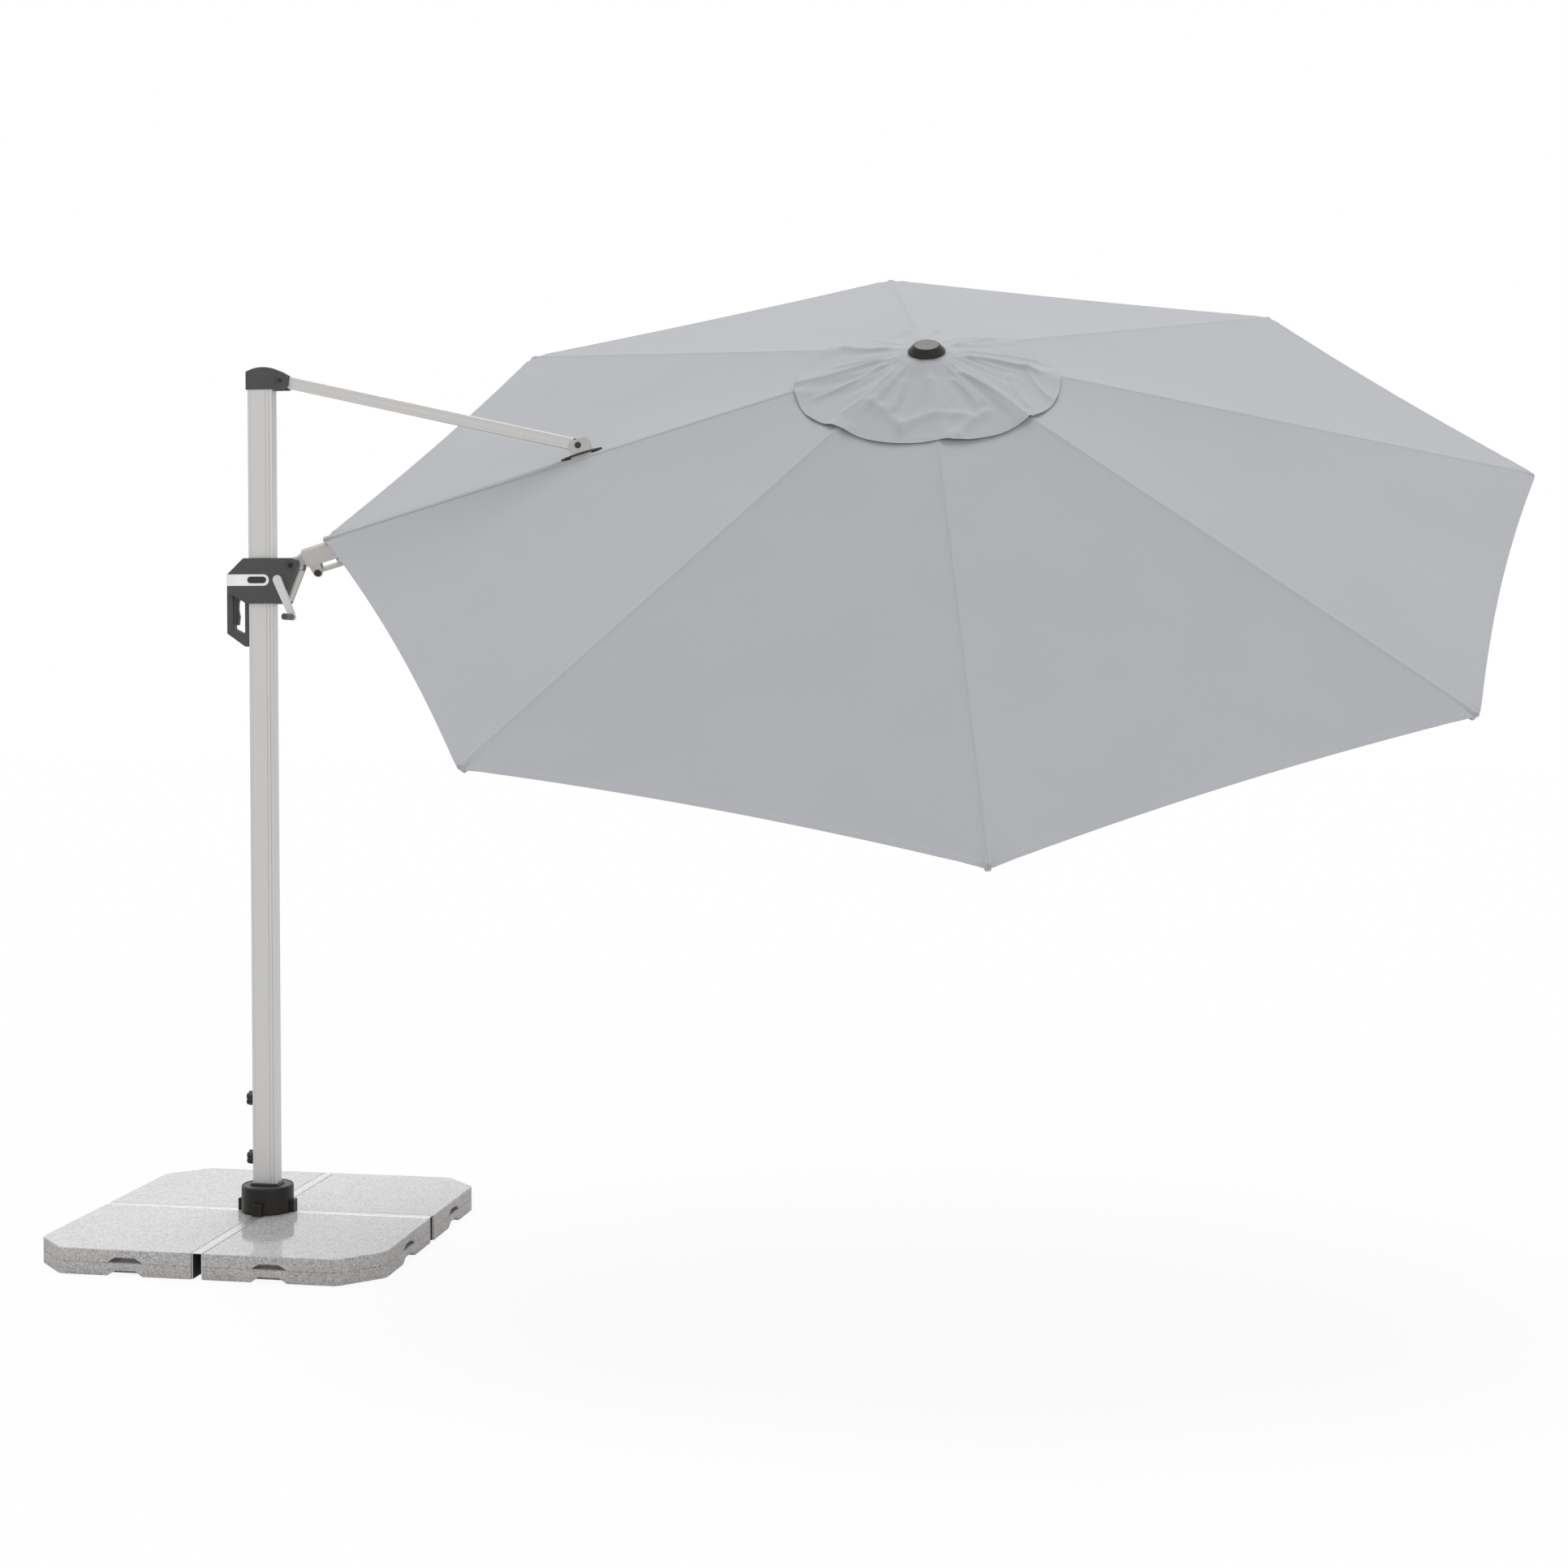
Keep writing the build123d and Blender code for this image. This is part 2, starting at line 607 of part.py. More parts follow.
def slider_frame():
    """Sleeve on the mast with two plates that hold the pivot pin and the crank shaft."""
    inner = glide_thickness + glide_gap
    x = (mast_back - inner, mast_front + inner)
    y = (-mast_half_y - inner, mast_half_y + inner)
    wall = sleeve_wall
    body = block((x[0] - wall, x[1] + wall), (y[0] - wall, y[1] + wall), (sleeve_low, sleeve_high))
    body = body - block(x, y, (sleeve_low - 1, sleeve_high + 1))
    root = x[1] + wall - 1
    outline = [(root, sleeve_high), (pivot_x, pivot_z + 14), (pivot_x + 14, pivot_z), (pivot_x + 6, pivot_z - 14),
               (crank_x + 13, crank_z - 10), (crank_x, crank_z - 14), (root, sleeve_low + 20)]
    gap = head_half + side_gap
    for side in (-1, 1):
        span = (gap, gap + cheek_wall) if side > 0 else (-gap - cheek_wall, -gap)
        body = body + side_plate(outline, span)
    body = body - pin_y(pivot_pin_radius, pivot_x, pivot_z, (-shell_half, shell_half))
    body = body - pin_y(crank_shaft_radius + running_gap, crank_x, crank_z, (-shell_half, shell_half))
    return body


def glide_pads():
    """Eight pads between the sleeve and the mast, four at each end."""
    pads = []
    near = glide_gap
    far = glide_gap + glide_thickness
    for low in (sleeve_low, sleeve_high - glide_height):
        z = (low, low + glide_height)
        pads.append(block((mast_back - far, mast_back - near), (-12, 12), z))
        pads.append(block((mast_front + near, mast_front + far), (-12, 12), z))
        pads.append(block((mast_back + 24, mast_back + 48), (mast_half_y + near, mast_half_y + far), z))
        pads.append(block((mast_back + 24, mast_back + 48), (-mast_half_y - far, -mast_half_y - near), z))
    return Compound(pads)


def pivot_pin():
    reach = shell_half - pivot_recess_depth
    body = pin_y(pivot_pin_radius, pivot_x, pivot_z, (-reach, reach))
    for side in (-1, 1):
        cap = pin_y(pivot_cap_radius, pivot_x, pivot_z, (side * reach, side * (reach + 1.6)))
        body = body + cap
    return body


def stripe():
    """White band round the back of the shells."""
    out = stripe_thickness
    low, high = stripe_low, stripe_high
    radius = (high - low) / 2
    face = make_face([
        Line((shell_back - out, 0, low), (stripe_end - radius, 0, low)),
        ThreePointArc((stripe_end - radius, 0, low), (stripe_end, 0, low + radius), (stripe_end - radius, 0, high)),
        Line((stripe_end - radius, 0, high), (shell_back - out, 0, high)),
        Line((shell_back - out, 0, high), (shell_back - out, 0, low)),
    ])
    body = extrude(face, shell_half + out, both=True, dir=(0, 1, 0))
    back = [e for e in body.edges().filter_by(Axis.Z) if e.center().X < shell_back]
    body = fillet(back, 4 + out)
    core = block((shell_back, stripe_end + 1), (-shell_half, shell_half), (low - 1, high + 1))
    core = fillet([e for e in core.edges().filter_by(Axis.Z) if e.center().X < shell_back + 1], 4)
    return body - core


def front_strip():
    """Metal plate on the shells' front slope, below the pivot head."""
    toe = Vector(shell_toe_x, 0, shell_bottom)
    centre = Vector(pivot_x, 0, pivot_z)
    reach = toe - centre
    lean = atan2(reach.Z, reach.X) + acos(shell_cheek_radius / reach.length)
    touch = centre + Vector(cos(lean), 0, sin(lean)) * shell_cheek_radius
    run = (touch - toe).normalized()
    out = Vector(cos(lean), 0, sin(lean))
    slope = Plane(origin=toe, x_dir=run, z_dir=out)
    top = (touch - toe).length - strip_short
    plate = block((10, top), (-strip_half, strip_half), (0, strip_thickness))
    plate = fillet(plate.faces().sort_by(Axis.Z)[-1].edges(), 1.5)
    return slope.location * plate


# ---------------------------------------------------------------- crank and finger lever
def crank_tip():
    lean = radians(crank_lean)
    return crank_x + crank_length * sin(lean), crank_z - crank_length * cos(lean)


def crank_faces():
    inner = -shell_half - crank_stand_off
    return inner, inner - crank_thickness


def crank_arm():
    inner, outer = crank_faces()
    lean = radians(crank_lean)
    tip_x, tip_z = crank_tip()
    across = Vector(cos(lean), 0, sin(lean))
    hub, tip = Vector(crank_x, 0, crank_z), Vector(tip_x, 0, tip_z)
    corners = [hub + across * crank_hub_radius, tip + across * crank_tip_radius,
               tip - across * crank_tip_radius, hub - across * crank_hub_radius]
    body = side_plate([(p.X, p.Z) for p in corners], (outer, inner))
    body = body + pin_y(crank_hub_radius, crank_x, crank_z, (outer, inner))
    body = body + pin_y(crank_tip_radius, tip_x, tip_z, (outer, inner))
    body = fillet(body.faces().sort_by(Axis.Y)[0].edges(), 3)
    body = body - pin_y(crank_shaft_radius, crank_x, crank_z, (outer + 4, inner + 1))
    return body - pin_y(knob_axle_radius, tip_x, tip_z, (outer - 1, inner + 1))


def crank_shaft():
    """Shaft with the winch drum between the frame's plates, and the knob's axle."""
    inner, outer = crank_faces()
    far = head_half + side_gap + cheek_wall
    body = pin_y(crank_shaft_radius, crank_x, crank_z, (outer + 4, far + 2))
    drum = pin_y(drum_radius, crank_x, crank_z, (-drum_half, drum_half))
    groove = pin_y(drum_radius + 1, crank_x, crank_z, (-drum_half + 2.5, drum_half - 2.5))
    groove = groove - pin_y(drum_radius - 4, crank_x, crank_z, (-drum_half, drum_half))
    body = body + (drum - groove)
    tip_x, tip_z = crank_tip()
    axle = pin_y(knob_axle_radius, tip_x, tip_z, (outer - knob_length + 4, inner))
    return Compound([body, axle])


def crank_knob():
    inner, outer = crank_faces()
    tip_x, tip_z = crank_tip()
    near = outer - 0.5
    body = pin_y(knob_radius, tip_x, tip_z, (near - knob_length, near))
    body = fillet(body.edges(), 4)
    return body - pin_y(knob_axle_radius + running_gap, tip_x, tip_z, (near - knob_length + 4, near + 1))


def grip_lever():
    """Finger lever with a slight waist and a tapered tip, on moulded stubs in the shells."""
    back = window_back + 5
    front = back + lever_thickness
    waist, bulge = (window_top_front + lever_bottom) / 2, lever_bottom + 26
    edge = [(front, window_top_front), (front - 1.5, waist), (front + 1, bulge)]
    body = make_face([
        Polyline((back, 0, lever_bottom), (back, 0, lever_pivot_z), (lever_pivot_x + 6, 0, lever_pivot_z + 6),
                 (edge[0][0], 0, edge[0][1])),
        ThreePointArc(*[(x, 0, z) for x, z in edge]),
        Polyline((edge[2][0], 0, edge[2][1]), (back + 7, 0, lever_bottom), (back, 0, lever_bottom)),
    ])
    body = extrude(body, lever_half, both=True, dir=(0, 1, 0))
    stubs = pin_y(lever_stub_radius, lever_pivot_x, lever_pivot_z, (-lever_half - 3, lever_half + 3))
    return body + stubs


# ---------------------------------------------------------------- carrier arm
def neck_head():
    """Round head between the frame's plates, with a socket for the neck."""
    body = pin_y(head_radius, pivot_x, pivot_z, (-head_half, head_half))
    body = fillet(body.edges(), 2)
    socket = arm_frame.location * rod(head_half - 1, (0, 0, 0), (neck_start + 6, 0, 0))
    body = body + socket
    body = body - pin_y(pivot_pin_radius + running_gap, pivot_x, pivot_z, (-head_half - 1, head_half + 1))
    return body


def neck_spindle():
    """Neck collar and the spindle that the casting turns on, with the brake's groove."""
    start = neck_start + 6
    body = rod(neck_spindle_radius, (start, 0, 0), (neck_spindle_end, 0, 0))
    groove = rod(neck_spindle_radius + 1, (brake_groove_start, 0, 0), (brake_groove_end, 0, 0))
    groove = groove - rod(brake_groove_radius, (brake_groove_start - 1, 0, 0), (brake_groove_end + 1, 0, 0))
    body = body - groove
    collar = rod(neck_radius, (head_radius + 0.2, 0, 0), (casting_start + 2.7, 0, 0))
    collar = collar - rod(head_half - 1, (head_radius, 0, 0), (start, 0, 0))
    return arm_frame.location * (body + collar)


def casting_section(x, top, bottom, half, corner):
    shape = Rectangle(2 * half, top + bottom)
    shape = fillet(shape.vertices(), corner)
    place = Plane(origin=(x, 0, 0), x_dir=(0, 1, 0), z_dir=(1, 0, 0))
    return place * (Pos(0, (top - bottom) / 2) * shape)


def carrier_casting():
    start = casting_start + 3
    body = extrude(casting_section(start, casting_top, casting_bottom, casting_half, casting_round),
                   casting_end - start)
    body = fillet(body.faces().sort_by(Axis.X)[0].edges(), 5)
    nose = block((cloth_corner - spine_nose_inset, casting_end), (-spine_half, spine_half), (0, cloth_rise - spine_gap))
    body = body + nose
    web = make_face(Polyline((lug_x - 16, 0, 0), (lug_x - tilt_lug_radius, 0, lug_z), (lug_x + tilt_lug_radius, 0, lug_z),
                             (lug_x + 22, 0, 0), close=True))
    body = body + extrude(web, tilt_lug_half, both=True, dir=(0, 1, 0))
    body = body + rod(tilt_lug_radius, (lug_x, -tilt_lug_half, lug_z), (lug_x, tilt_lug_half, lug_z))
    ear_gap = tilt_lug_gap_half + side_gap
    slot = block((lug_x - 20, casting_end), (-ear_gap, ear_gap), (lug_z - 20, -casting_bottom - 1))
    body = body - slot
    body = body - rod(neck_spindle_radius + running_gap, (start - 1, 0, 0), (neck_spindle_end + 1, 0, 0))
    body = body - carrier_profile(tube_start - 0.2, casting_end + 1, 0.0)
    window = block((brake_groove_start + 1, brake_groove_end - 1), (-brake_pin_radius - 1, brake_pin_radius + 1),
                   (-casting_bottom - 2, 0))
    body = body - window
    body = body - rod(tilt_pin_radius, (lug_x, -tilt_lug_half - 1, lug_z), (lug_x, tilt_lug_half + 1, lug_z))
    return carrier_frame.location * body


def tilt_lever():
    hub = tilt_lug_gap_half
    body = rod(9, (lug_x, -hub, lug_z), (lug_x, hub, lug_z))
    low = lug_z - tilt_lever_thickness / 2
    body = body + block((lug_x, lug_x + 30), (-hub, hub), (low, low + tilt_lever_thickness))
    paddle = block((lug_x + 18, tilt_lever_end), (-tilt_lever_half, tilt_lever_half),
                   (low, low + tilt_lever_thickness))
    paddle = soften(paddle, 4, Axis.Z)
    body = body + paddle
    top = -casting_bottom - 2.5
    upstand = block((tilt_upstand_x - tilt_upstand_half, tilt_upstand_x + tilt_upstand_half), (-hub, hub),
                    (low + 1, top))
    body = body + upstand
    pin_top = -brake_groove_radius - 0.4
    body = body + rod(brake_pin_radius, (tilt_upstand_x, 0, top - 1), (tilt_upstand_x, 0, pin_top))
    body = body - rod(tilt_pin_radius + running_gap, (lug_x, -hub - 1, lug_z), (lug_x, hub + 1, lug_z))
    return carrier_frame.location * body


def tilt_lever_pin():
    half = tilt_lug_half
    body = rod(tilt_pin_radius, (lug_x, -half, lug_z), (lug_x, half, lug_z))
    for side in (-1, 1):
        body = body + rod(tilt_cap_radius, (lug_x, side * half, lug_z), (lug_x, side * (half + 2), lug_z))
    return carrier_frame.location * body


def carrier_profile(start, end, inset):
    """Round tube with the rail that carries the cloth's sleeve."""
    place = Plane(origin=(start, 0, 0), x_dir=(0, 1, 0), z_dir=(1, 0, 0))
    top = cloth_rise - spine_gap - inset
    shape = Circle(tube_radius - inset)
    rail = Pos(0, top / 2) * Rectangle(2 * (spine_half - inset), top)
    return extrude(place * (shape + rail), end - start)


def tube_end_x():
    return canopy_reach - hinge_reach - 28


def carrier_tube():
    end = tube_end_x()
    body = carrier_profile(tube_start, end, 0) - carrier_profile(tube_start - 1, end + 1, tube_wall)
    half = collar_length / 2 + collar_play
    clear = block((bracket_x - half, bracket_x + half), (-30, 30), (tube_radius - 5, cloth_rise + 2))
    ring = rod(tube_radius, (bracket_x - half, 0, 0), (bracket_x + half, 0, 0))
    ring = ring - rod(tube_radius - tube_wall, (bracket_x - half - 1, 0, 0), (bracket_x + half + 1, 0, 0))
    body = body - clear + ring
    cut = block((tube_start - 1, casting_end), (-30, 30), (tube_radius, cloth_rise + 2))
    return carrier_frame.location * (body - cut)


def hinge_x():
    return canopy_reach - hinge_reach


def carrier_end():
    """Insert in the tube with a tongue that reaches the crown's hinge."""
    end = tube_end_x()
    level = cloth_rise - hinge_drop
    plug = rod(tube_radius - tube_wall - seat_gap, (end - end_fork_length, 0, 0), (end, 0, 0))
    flange = rod(tube_radius, (end, 0, 0), (end + 4, 0, 0))
    half = rib_width / 2
    clear = crown_below + crown_play
    tongue = make_face(Polyline((end + 2, 0, 3 - tube_radius), (end + 2, 0, level + 7),
                                (hinge_x(), 0, level + rib_eye_radius), (hinge_x(), 0, level - rib_eye_radius),
                                (hinge_x() - clear, 0, level - rib_eye_radius - 1),
                                (hinge_x() - clear - 3, 0, -tube_radius / 2), close=True))
    body = plug + flange + extrude(tongue, half, both=True, dir=(0, 1, 0))
    body = body + rod(rib_eye_radius, (hinge_x(), -half, level), (hinge_x(), half, level))
    body = body - rod(hinge_pin_radius + running_gap, (hinge_x(), -half - 1, level), (hinge_x(), half + 1, level))
    return carrier_frame.location * body


def strut_bracket():
    """Ring on the carrier tube, a blade through the canopy's slit, and a U of two cheeks and an end web."""
    half = collar_length / 2
    inner = tube_radius + running_gap
    outer = tube_radius + collar_wall
    body = rod(outer, (bracket_x - half, 0, 0), (bracket_x + half, 0, 0))
    blade = block((bracket_x - half + 1, bracket_x + half - 1), (-blade_half, blade_half), (tube_radius, bracket_floor + 1))
    body = body + blade
    gap = strut_width / 2 + side_gap
    wide = gap + bracket_wall
    x = (bracket_x - bracket_back, bracket_x + bracket_ahead)
    top = bracket_pin_rise + bracket_above
    cup = block(x, (-wide, wide), (bracket_floor, top))
    cup = fillet(cup.edges().filter_by(Axis.Y).group_by(Axis.Z)[-1].sort_by(Axis.X)[-1], bracket_corner)
    cup = chamfer(cup.edges().filter_by(Axis.Y).group_by(Axis.Z)[-1].sort_by(Axis.X)[0], bracket_corner)
    room = block((x[0] - 1, x[1] - bracket_wall), (-gap, gap), (bracket_floor + bracket_floor_wall, top + 1))
    body = body + (cup - room)
    body = body - rod(inner, (bracket_x - half - 1, 0, 0), (bracket_x + half + 1, 0, 0))
    body = body - rod(bracket_pin_radius, (bracket_x, -wide - 1, bracket_pin_rise), (bracket_x, wide + 1, bracket_pin_rise))
    return arm_frame.location * body


def bracket_pin():
    half = strut_width / 2 + side_gap + bracket_wall
    body = rod(bracket_pin_radius, (bracket_x, -half, bracket_pin_rise), (bracket_x, half, bracket_pin_rise))
    for side in (-1, 1):
        cap = rod(9, (bracket_x, side * half, bracket_pin_rise), (bracket_x, side * (half + 2.5), bracket_pin_rise))
        body = body + fillet(cap.faces().sort_by(Axis.Y)[0 if side < 0 else -1].edges(), 1)
    return arm_frame.location * body


def slit_flange():
    """Boat-shaped plate round the blade, over the slit in the cloth."""
    half_length, half_width = slit_flange_length / 2, slit_flange_width / 2
    z = bracket_floor - slit_flange_thickness
    port = ThreePointArc((-half_length, 0), (0, half_width), (half_length, 0))
    starboard = ThreePointArc((half_length, 0), (0, -half_width), (-half_length, 0))
    boat = extrude(Pos(bracket_x, 0, z) * make_face([port, starboard]), slit_flange_thickness)
    half = collar_length / 2 - 1
    boat = boat - block((bracket_x - half, bracket_x + half), (-blade_half, blade_half), (z - 1, bracket_floor + 1))
    return arm_frame.location * boat


# ---------------------------------------------------------------- crown, ribs, stretchers
def azimuth(index):
    """Direction of a rib about the crown's axis; rib 0 is the carrier."""
    return 180 + 360 / rib_count * index


def rib_plane(index):
    """Origin on a rib's hinge, x out along the rib, z towards the cloth."""
    turn = radians(azimuth(index))
    outward = Vector(cos(turn), sin(turn), 0)
    origin = outward * hinge_radius + Vector(0, 0, hinge_z)
    along = outward * sin(spread) - Vector(0, 0, cos(spread))
    up = outward * cos(spread) + Vector(0, 0, sin(spread))
    return Plane(origin=origin, x_dir=along, z_dir=up)


def slotted_hub(radius, core, above, below, skip):
    """Disc with a radial slot and a tangent pin for each hinge."""
    body = rod(radius, (0, 0, -below), (0, 0, above))
    slot_half = rib_width / 2 + side_gap
    pins = []
    for index in range(rib_count):
        if index in skip:
            continue
        turn = Rot(0, 0, azimuth(index))
        body = body - turn * block((core, radius + 5), (-slot_half, slot_half), (-below - 1, above + 1))
        reach = slot_half + 2.0
        pins.append(turn * rod(hinge_pin_radius, (hinge_radius, -reach, 0), (hinge_radius, reach, 0)))
    for pin in pins:
        body = body + pin
    return body


def crown_hub():
    body = Pos(0, 0, hinge_z) * slotted_hub(crown_radius, crown_core_radius, crown_above, crown_below, ())
    body = body + rod(spigot_radius, (0, 0, hinge_z), (0, 0, spigot_top))
    return crown_frame.location * body


def finial():
    """Cap like a low cone on an upright rim, hollow underneath to follow the cloth."""
    edge = finial_radius - 3
    rise = vent_rise_in + (vent_rise_out - vent_rise_in) * edge / vent_radius
    under = rise + cloth_thickness + finial_gap - edge / tan(spread)
    top = finial_rise
    shoulder = under + finial_rim
    face = make_face(Polyline((0, spigot_top), (cloth_hole, spigot_top), (edge, under),
                              (finial_radius, under + finial_gap), (finial_radius, shoulder - finial_edge),
                              (finial_radius - finial_edge, shoulder),
                              (finial_top_radius + finial_edge, top - finial_edge),
                              (finial_top_radius - finial_edge, top), (0, top + finial_gap), close=True))
    body = revolve(Plane.XZ * face, Axis.Z)
    return crown_frame.location * body


def rib(index):
    length = rib_end - hinge_reach
    half = rib_width / 2
    body = block((16, length), (-half, half), (-rib_depth / 2, rib_depth / 2))
    inner = block((40, length + 1), (-half + rib_wall, half - rib_wall), (-rib_depth / 2 + rib_wall, rib_depth / 2 - rib_wall))
    body = fillet(body.edges().filter_by(Axis.X), 2) - inner
    root = rod(rib_eye_radius, (0, -half, 0), (0, half, 0))
    root = root + block((0, 18), (-half, half), (-rib_eye_radius, rib_eye_radius))
    body = body + root
    body = body - rod(hinge_pin_radius + running_gap, (0, -half - 1, 0), (0, half + 1, 0))
    pin = rod(hinge_pin_radius, (stretcher_reach, -half - stretcher_fork_wall - 0.6, 0),
              (stretcher_reach, half + stretcher_fork_wall + 0.6, 0))
    return crown_frame.location * rib_plane(index).location * (body + pin)


def stretcher_plane(index):
    """Origin on the stretcher's outer pin, x towards the lower hub."""
    turn = radians(azimuth(index))
    outward = Vector(cos(turn), sin(turn), 0)
    hinge = outward * hinge_radius + Vector(0, 0, hinge_z)
    origin = hinge + (outward * sin(spread) - Vector(0, 0, cos(spread))) * stretcher_reach
    along = -outward * sin(spread) - Vector(0, 0, cos(spread))
    up = -outward * cos(spread) + Vector(0, 0, sin(spread))
    return Plane(origin=origin, x_dir=along, z_dir=up)


def stretcher(index):
    half = rib_width / 2
    near = half + side_gap
    deep = stretcher_depth / 2
    body = None
    for side in (-1, 1):
        y = (near, near + stretcher_fork_wall) if side > 0 else (-near - stretcher_fork_wall, -near)
        ear = block((0, stretcher_fork), y, (-deep, deep))
        ear = ear + rod(deep, (0, y[0], 0), (0, y[1], 0))
        body = ear if body is None else body + ear
    bar = block((stretcher_fork - 8, stretcher_reach), (-half, half), (-deep, deep))
    body = body + block((stretcher_fork - 8, stretcher_fork), (-near - stretcher_fork_wall, near + stretcher_fork_wall),
                        (-deep, deep))
    body = body + bar + rod(deep, (stretcher_reach, -half, 0), (stretcher_reach, half, 0))
    body = body - rod(hinge_pin_radius + running_gap, (0, -20, 0), (0, 20, 0))
    eye = hinge_pin_radius + running_gap if index == rib_count // 2 else open_hinge_radius
    body = body - rod(eye, (stretcher_reach, -20, 0), (stretcher_reach, 20, 0))
    return crown_frame.location * stretcher_plane(index).location * body


def lower_hub():
    level = hinge_z - hub_drop
    body = slotted_hub(crown_radius, crown_core_radius, crown_above, hub_below, (0,))
    return crown_frame.location * (Pos(0, 0, level) * body)


# ---------------------------------------------------------------- canopy
def rib_direction(index):
    turn = radians(azimuth(index))
    return Vector(cos(turn) * sin(spread), sin(turn) * sin(spread), -cos(spread))


def half_gore(index, side, inner, outer, sag, lift):
    """Flat half of a gore beside a rib, from inner to outer along the rib."""
    along = rib_direction(index)
    other = rib_direction(index + side)
    middle = (along + other).normalized()
    half_angle = radians(along.get_angle(middle))
    across = (along - middle * cos(half_angle)).normalized()
    rise = crown_normal(index)
    split = across * cloth_split
    near_in, near_out = along * inner + rise * lift[0], along * outer + rise * lift[1]
    mid_in = middle * (inner * cos(half_angle)) + split + rise * lift[0]
    mid_out = middle * (outer * cos(half_angle) - sag) + split + rise * lift[1]
    quarter = (near_out + mid_out) * 0.5 - middle * (sag * 0.25)
    rim = ThreePointArc(near_out, quarter, mid_out) if sag else Line(near_out, mid_out)
    wire = Wire([Line(near_in, near_out), rim, Line(mid_out, mid_in), Line(mid_in, near_in)])
    return Face(wire)


def crown_normal(index):
    """Square to a rib, towards the outside of the cloth, in the rib's own upright plane."""
    turn = radians(azimuth(index))
    return Vector(cos(turn) * cos(spread), sin(turn) * cos(spread), sin(spread))


def canopy_panel(index):
    """Cloth of one rib: half a gore on each side of it, and its share of the vent cap."""
    rise = crown_normal(index)
    flat = (0.0, 0.0)
    cloth = None
    for side in (-1, 1):
        piece = extrude(half_gore(index, side, cloth_hole, cloth_length, rim_sag, flat), cloth_thickness, dir=rise)
        cloth = piece if cloth is None else cloth + piece
    vent = None
    lift = (vent_rise_in, vent_rise_out)
    for side in (-1, 1):
        piece = extrude(half_gore(index, side, cloth_hole, vent_radius, 0, lift), cloth_thickness, dir=rise)
        vent = piece if vent is None else vent + piece
    cloth = crown_frame.location * cloth
    vent = crown_frame.location * vent
    if index == 0:
        half = slit_length / 2
        lens = make_face([ThreePointArc((-half, 0), (0, slit_half), (half, 0)),
                          ThreePointArc((half, 0), (0, -slit_half), (-half, 0))])
        crossing = cloth_rise * tan(radians(side_tilt))
        cutter = extrude(Pos(bracket_x, crossing, cloth_rise - 30) * lens, 60)
        cloth = cloth - carrier_frame.location * cutter
    return Compound([cloth, vent])


# ---------------------------------------------------------------- write everything
def build():
    os.makedirs("parts", exist_ok=True)
    save("lower_slabs", slab_layer(0))
    save("upper_slabs", slab_layer(1))
    save("cross_frame", cross_frame())
    save("base_spindle", base_spindle())
    save("swivel_housing", swivel_housing())
    save("swivel_disc", swivel_disc())
    save("mast_tube", mast_tube())
    save("foot_insert", foot_insert())
    save("lower_clamp_knob", clamp_knob(clamp_heights[0]))
    save("upper_clamp_knob", clamp_knob(clamp_heights[1]))
    save("mast_cap", mast_cap())
    save("cap_pin", cap_pin())
    save("strut_bar", strut_bar())
    save("strut_ends", strut_ends())
    save("housing_front", housing_front())
    save("housing_rear", housing_rear())
    save("slider_frame", slider_frame())
    save("glide_pads", glide_pads())
    save("pivot_pin", pivot_pin())
    save("stripe", stripe())
    save("front_strip", front_strip())
    save("crank_arm", crank_arm())
    save("crank_shaft", crank_shaft())
    save("crank_knob", crank_knob())
    save("grip_lever", grip_lever())
    save("neck_head", neck_head())
    save("neck_spindle", neck_spindle())
    save("carrier_casting", carrier_casting())
    save("tilt_lever", tilt_lever())
    save("tilt_lever_pin", tilt_lever_pin())
    save("carrier_tube", carrier_tube())
    save("carrier_end", carrier_end())
    save("strut_bracket", strut_bracket())
    save("bracket_pin", bracket_pin())
    save("slit_flange", slit_flange())
    save("crown_hub", crown_hub())
    save("finial", finial())
    save("lower_hub", lower_hub())
    for index in range(1, rib_count):
        save(f"rib_{index}", rib(index))
        save(f"stretcher_{index}", stretcher(index))
    for index in range(rib_count):
        save(f"canopy_panel_{index}", canopy_panel(index))


build()
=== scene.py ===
import json
import math

import bpy
import numpy as np
from mathutils import Matrix, Vector


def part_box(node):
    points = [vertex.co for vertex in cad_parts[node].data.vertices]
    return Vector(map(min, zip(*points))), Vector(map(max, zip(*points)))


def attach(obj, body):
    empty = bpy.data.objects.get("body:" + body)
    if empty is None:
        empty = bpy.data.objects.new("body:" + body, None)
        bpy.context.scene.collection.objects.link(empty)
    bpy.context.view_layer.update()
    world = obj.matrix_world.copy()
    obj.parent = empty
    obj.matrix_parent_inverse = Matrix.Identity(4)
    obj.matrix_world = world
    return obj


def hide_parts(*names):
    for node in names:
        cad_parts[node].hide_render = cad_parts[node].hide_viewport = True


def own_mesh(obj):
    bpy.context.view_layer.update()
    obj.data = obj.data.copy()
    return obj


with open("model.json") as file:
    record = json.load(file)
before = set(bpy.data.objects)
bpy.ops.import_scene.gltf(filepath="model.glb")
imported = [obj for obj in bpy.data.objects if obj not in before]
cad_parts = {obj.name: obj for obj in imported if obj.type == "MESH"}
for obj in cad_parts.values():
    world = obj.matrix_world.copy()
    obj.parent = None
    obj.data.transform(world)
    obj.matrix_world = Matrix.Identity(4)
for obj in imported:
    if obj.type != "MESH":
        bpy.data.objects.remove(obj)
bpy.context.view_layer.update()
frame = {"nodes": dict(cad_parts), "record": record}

# ---------------------------------------- geometry shared with the CAD, in metres
ELEVATION = math.radians(16.34)      # carrier arm above level
SIDE_TILT = math.radians(33.35)      # canopy rolled towards -Y
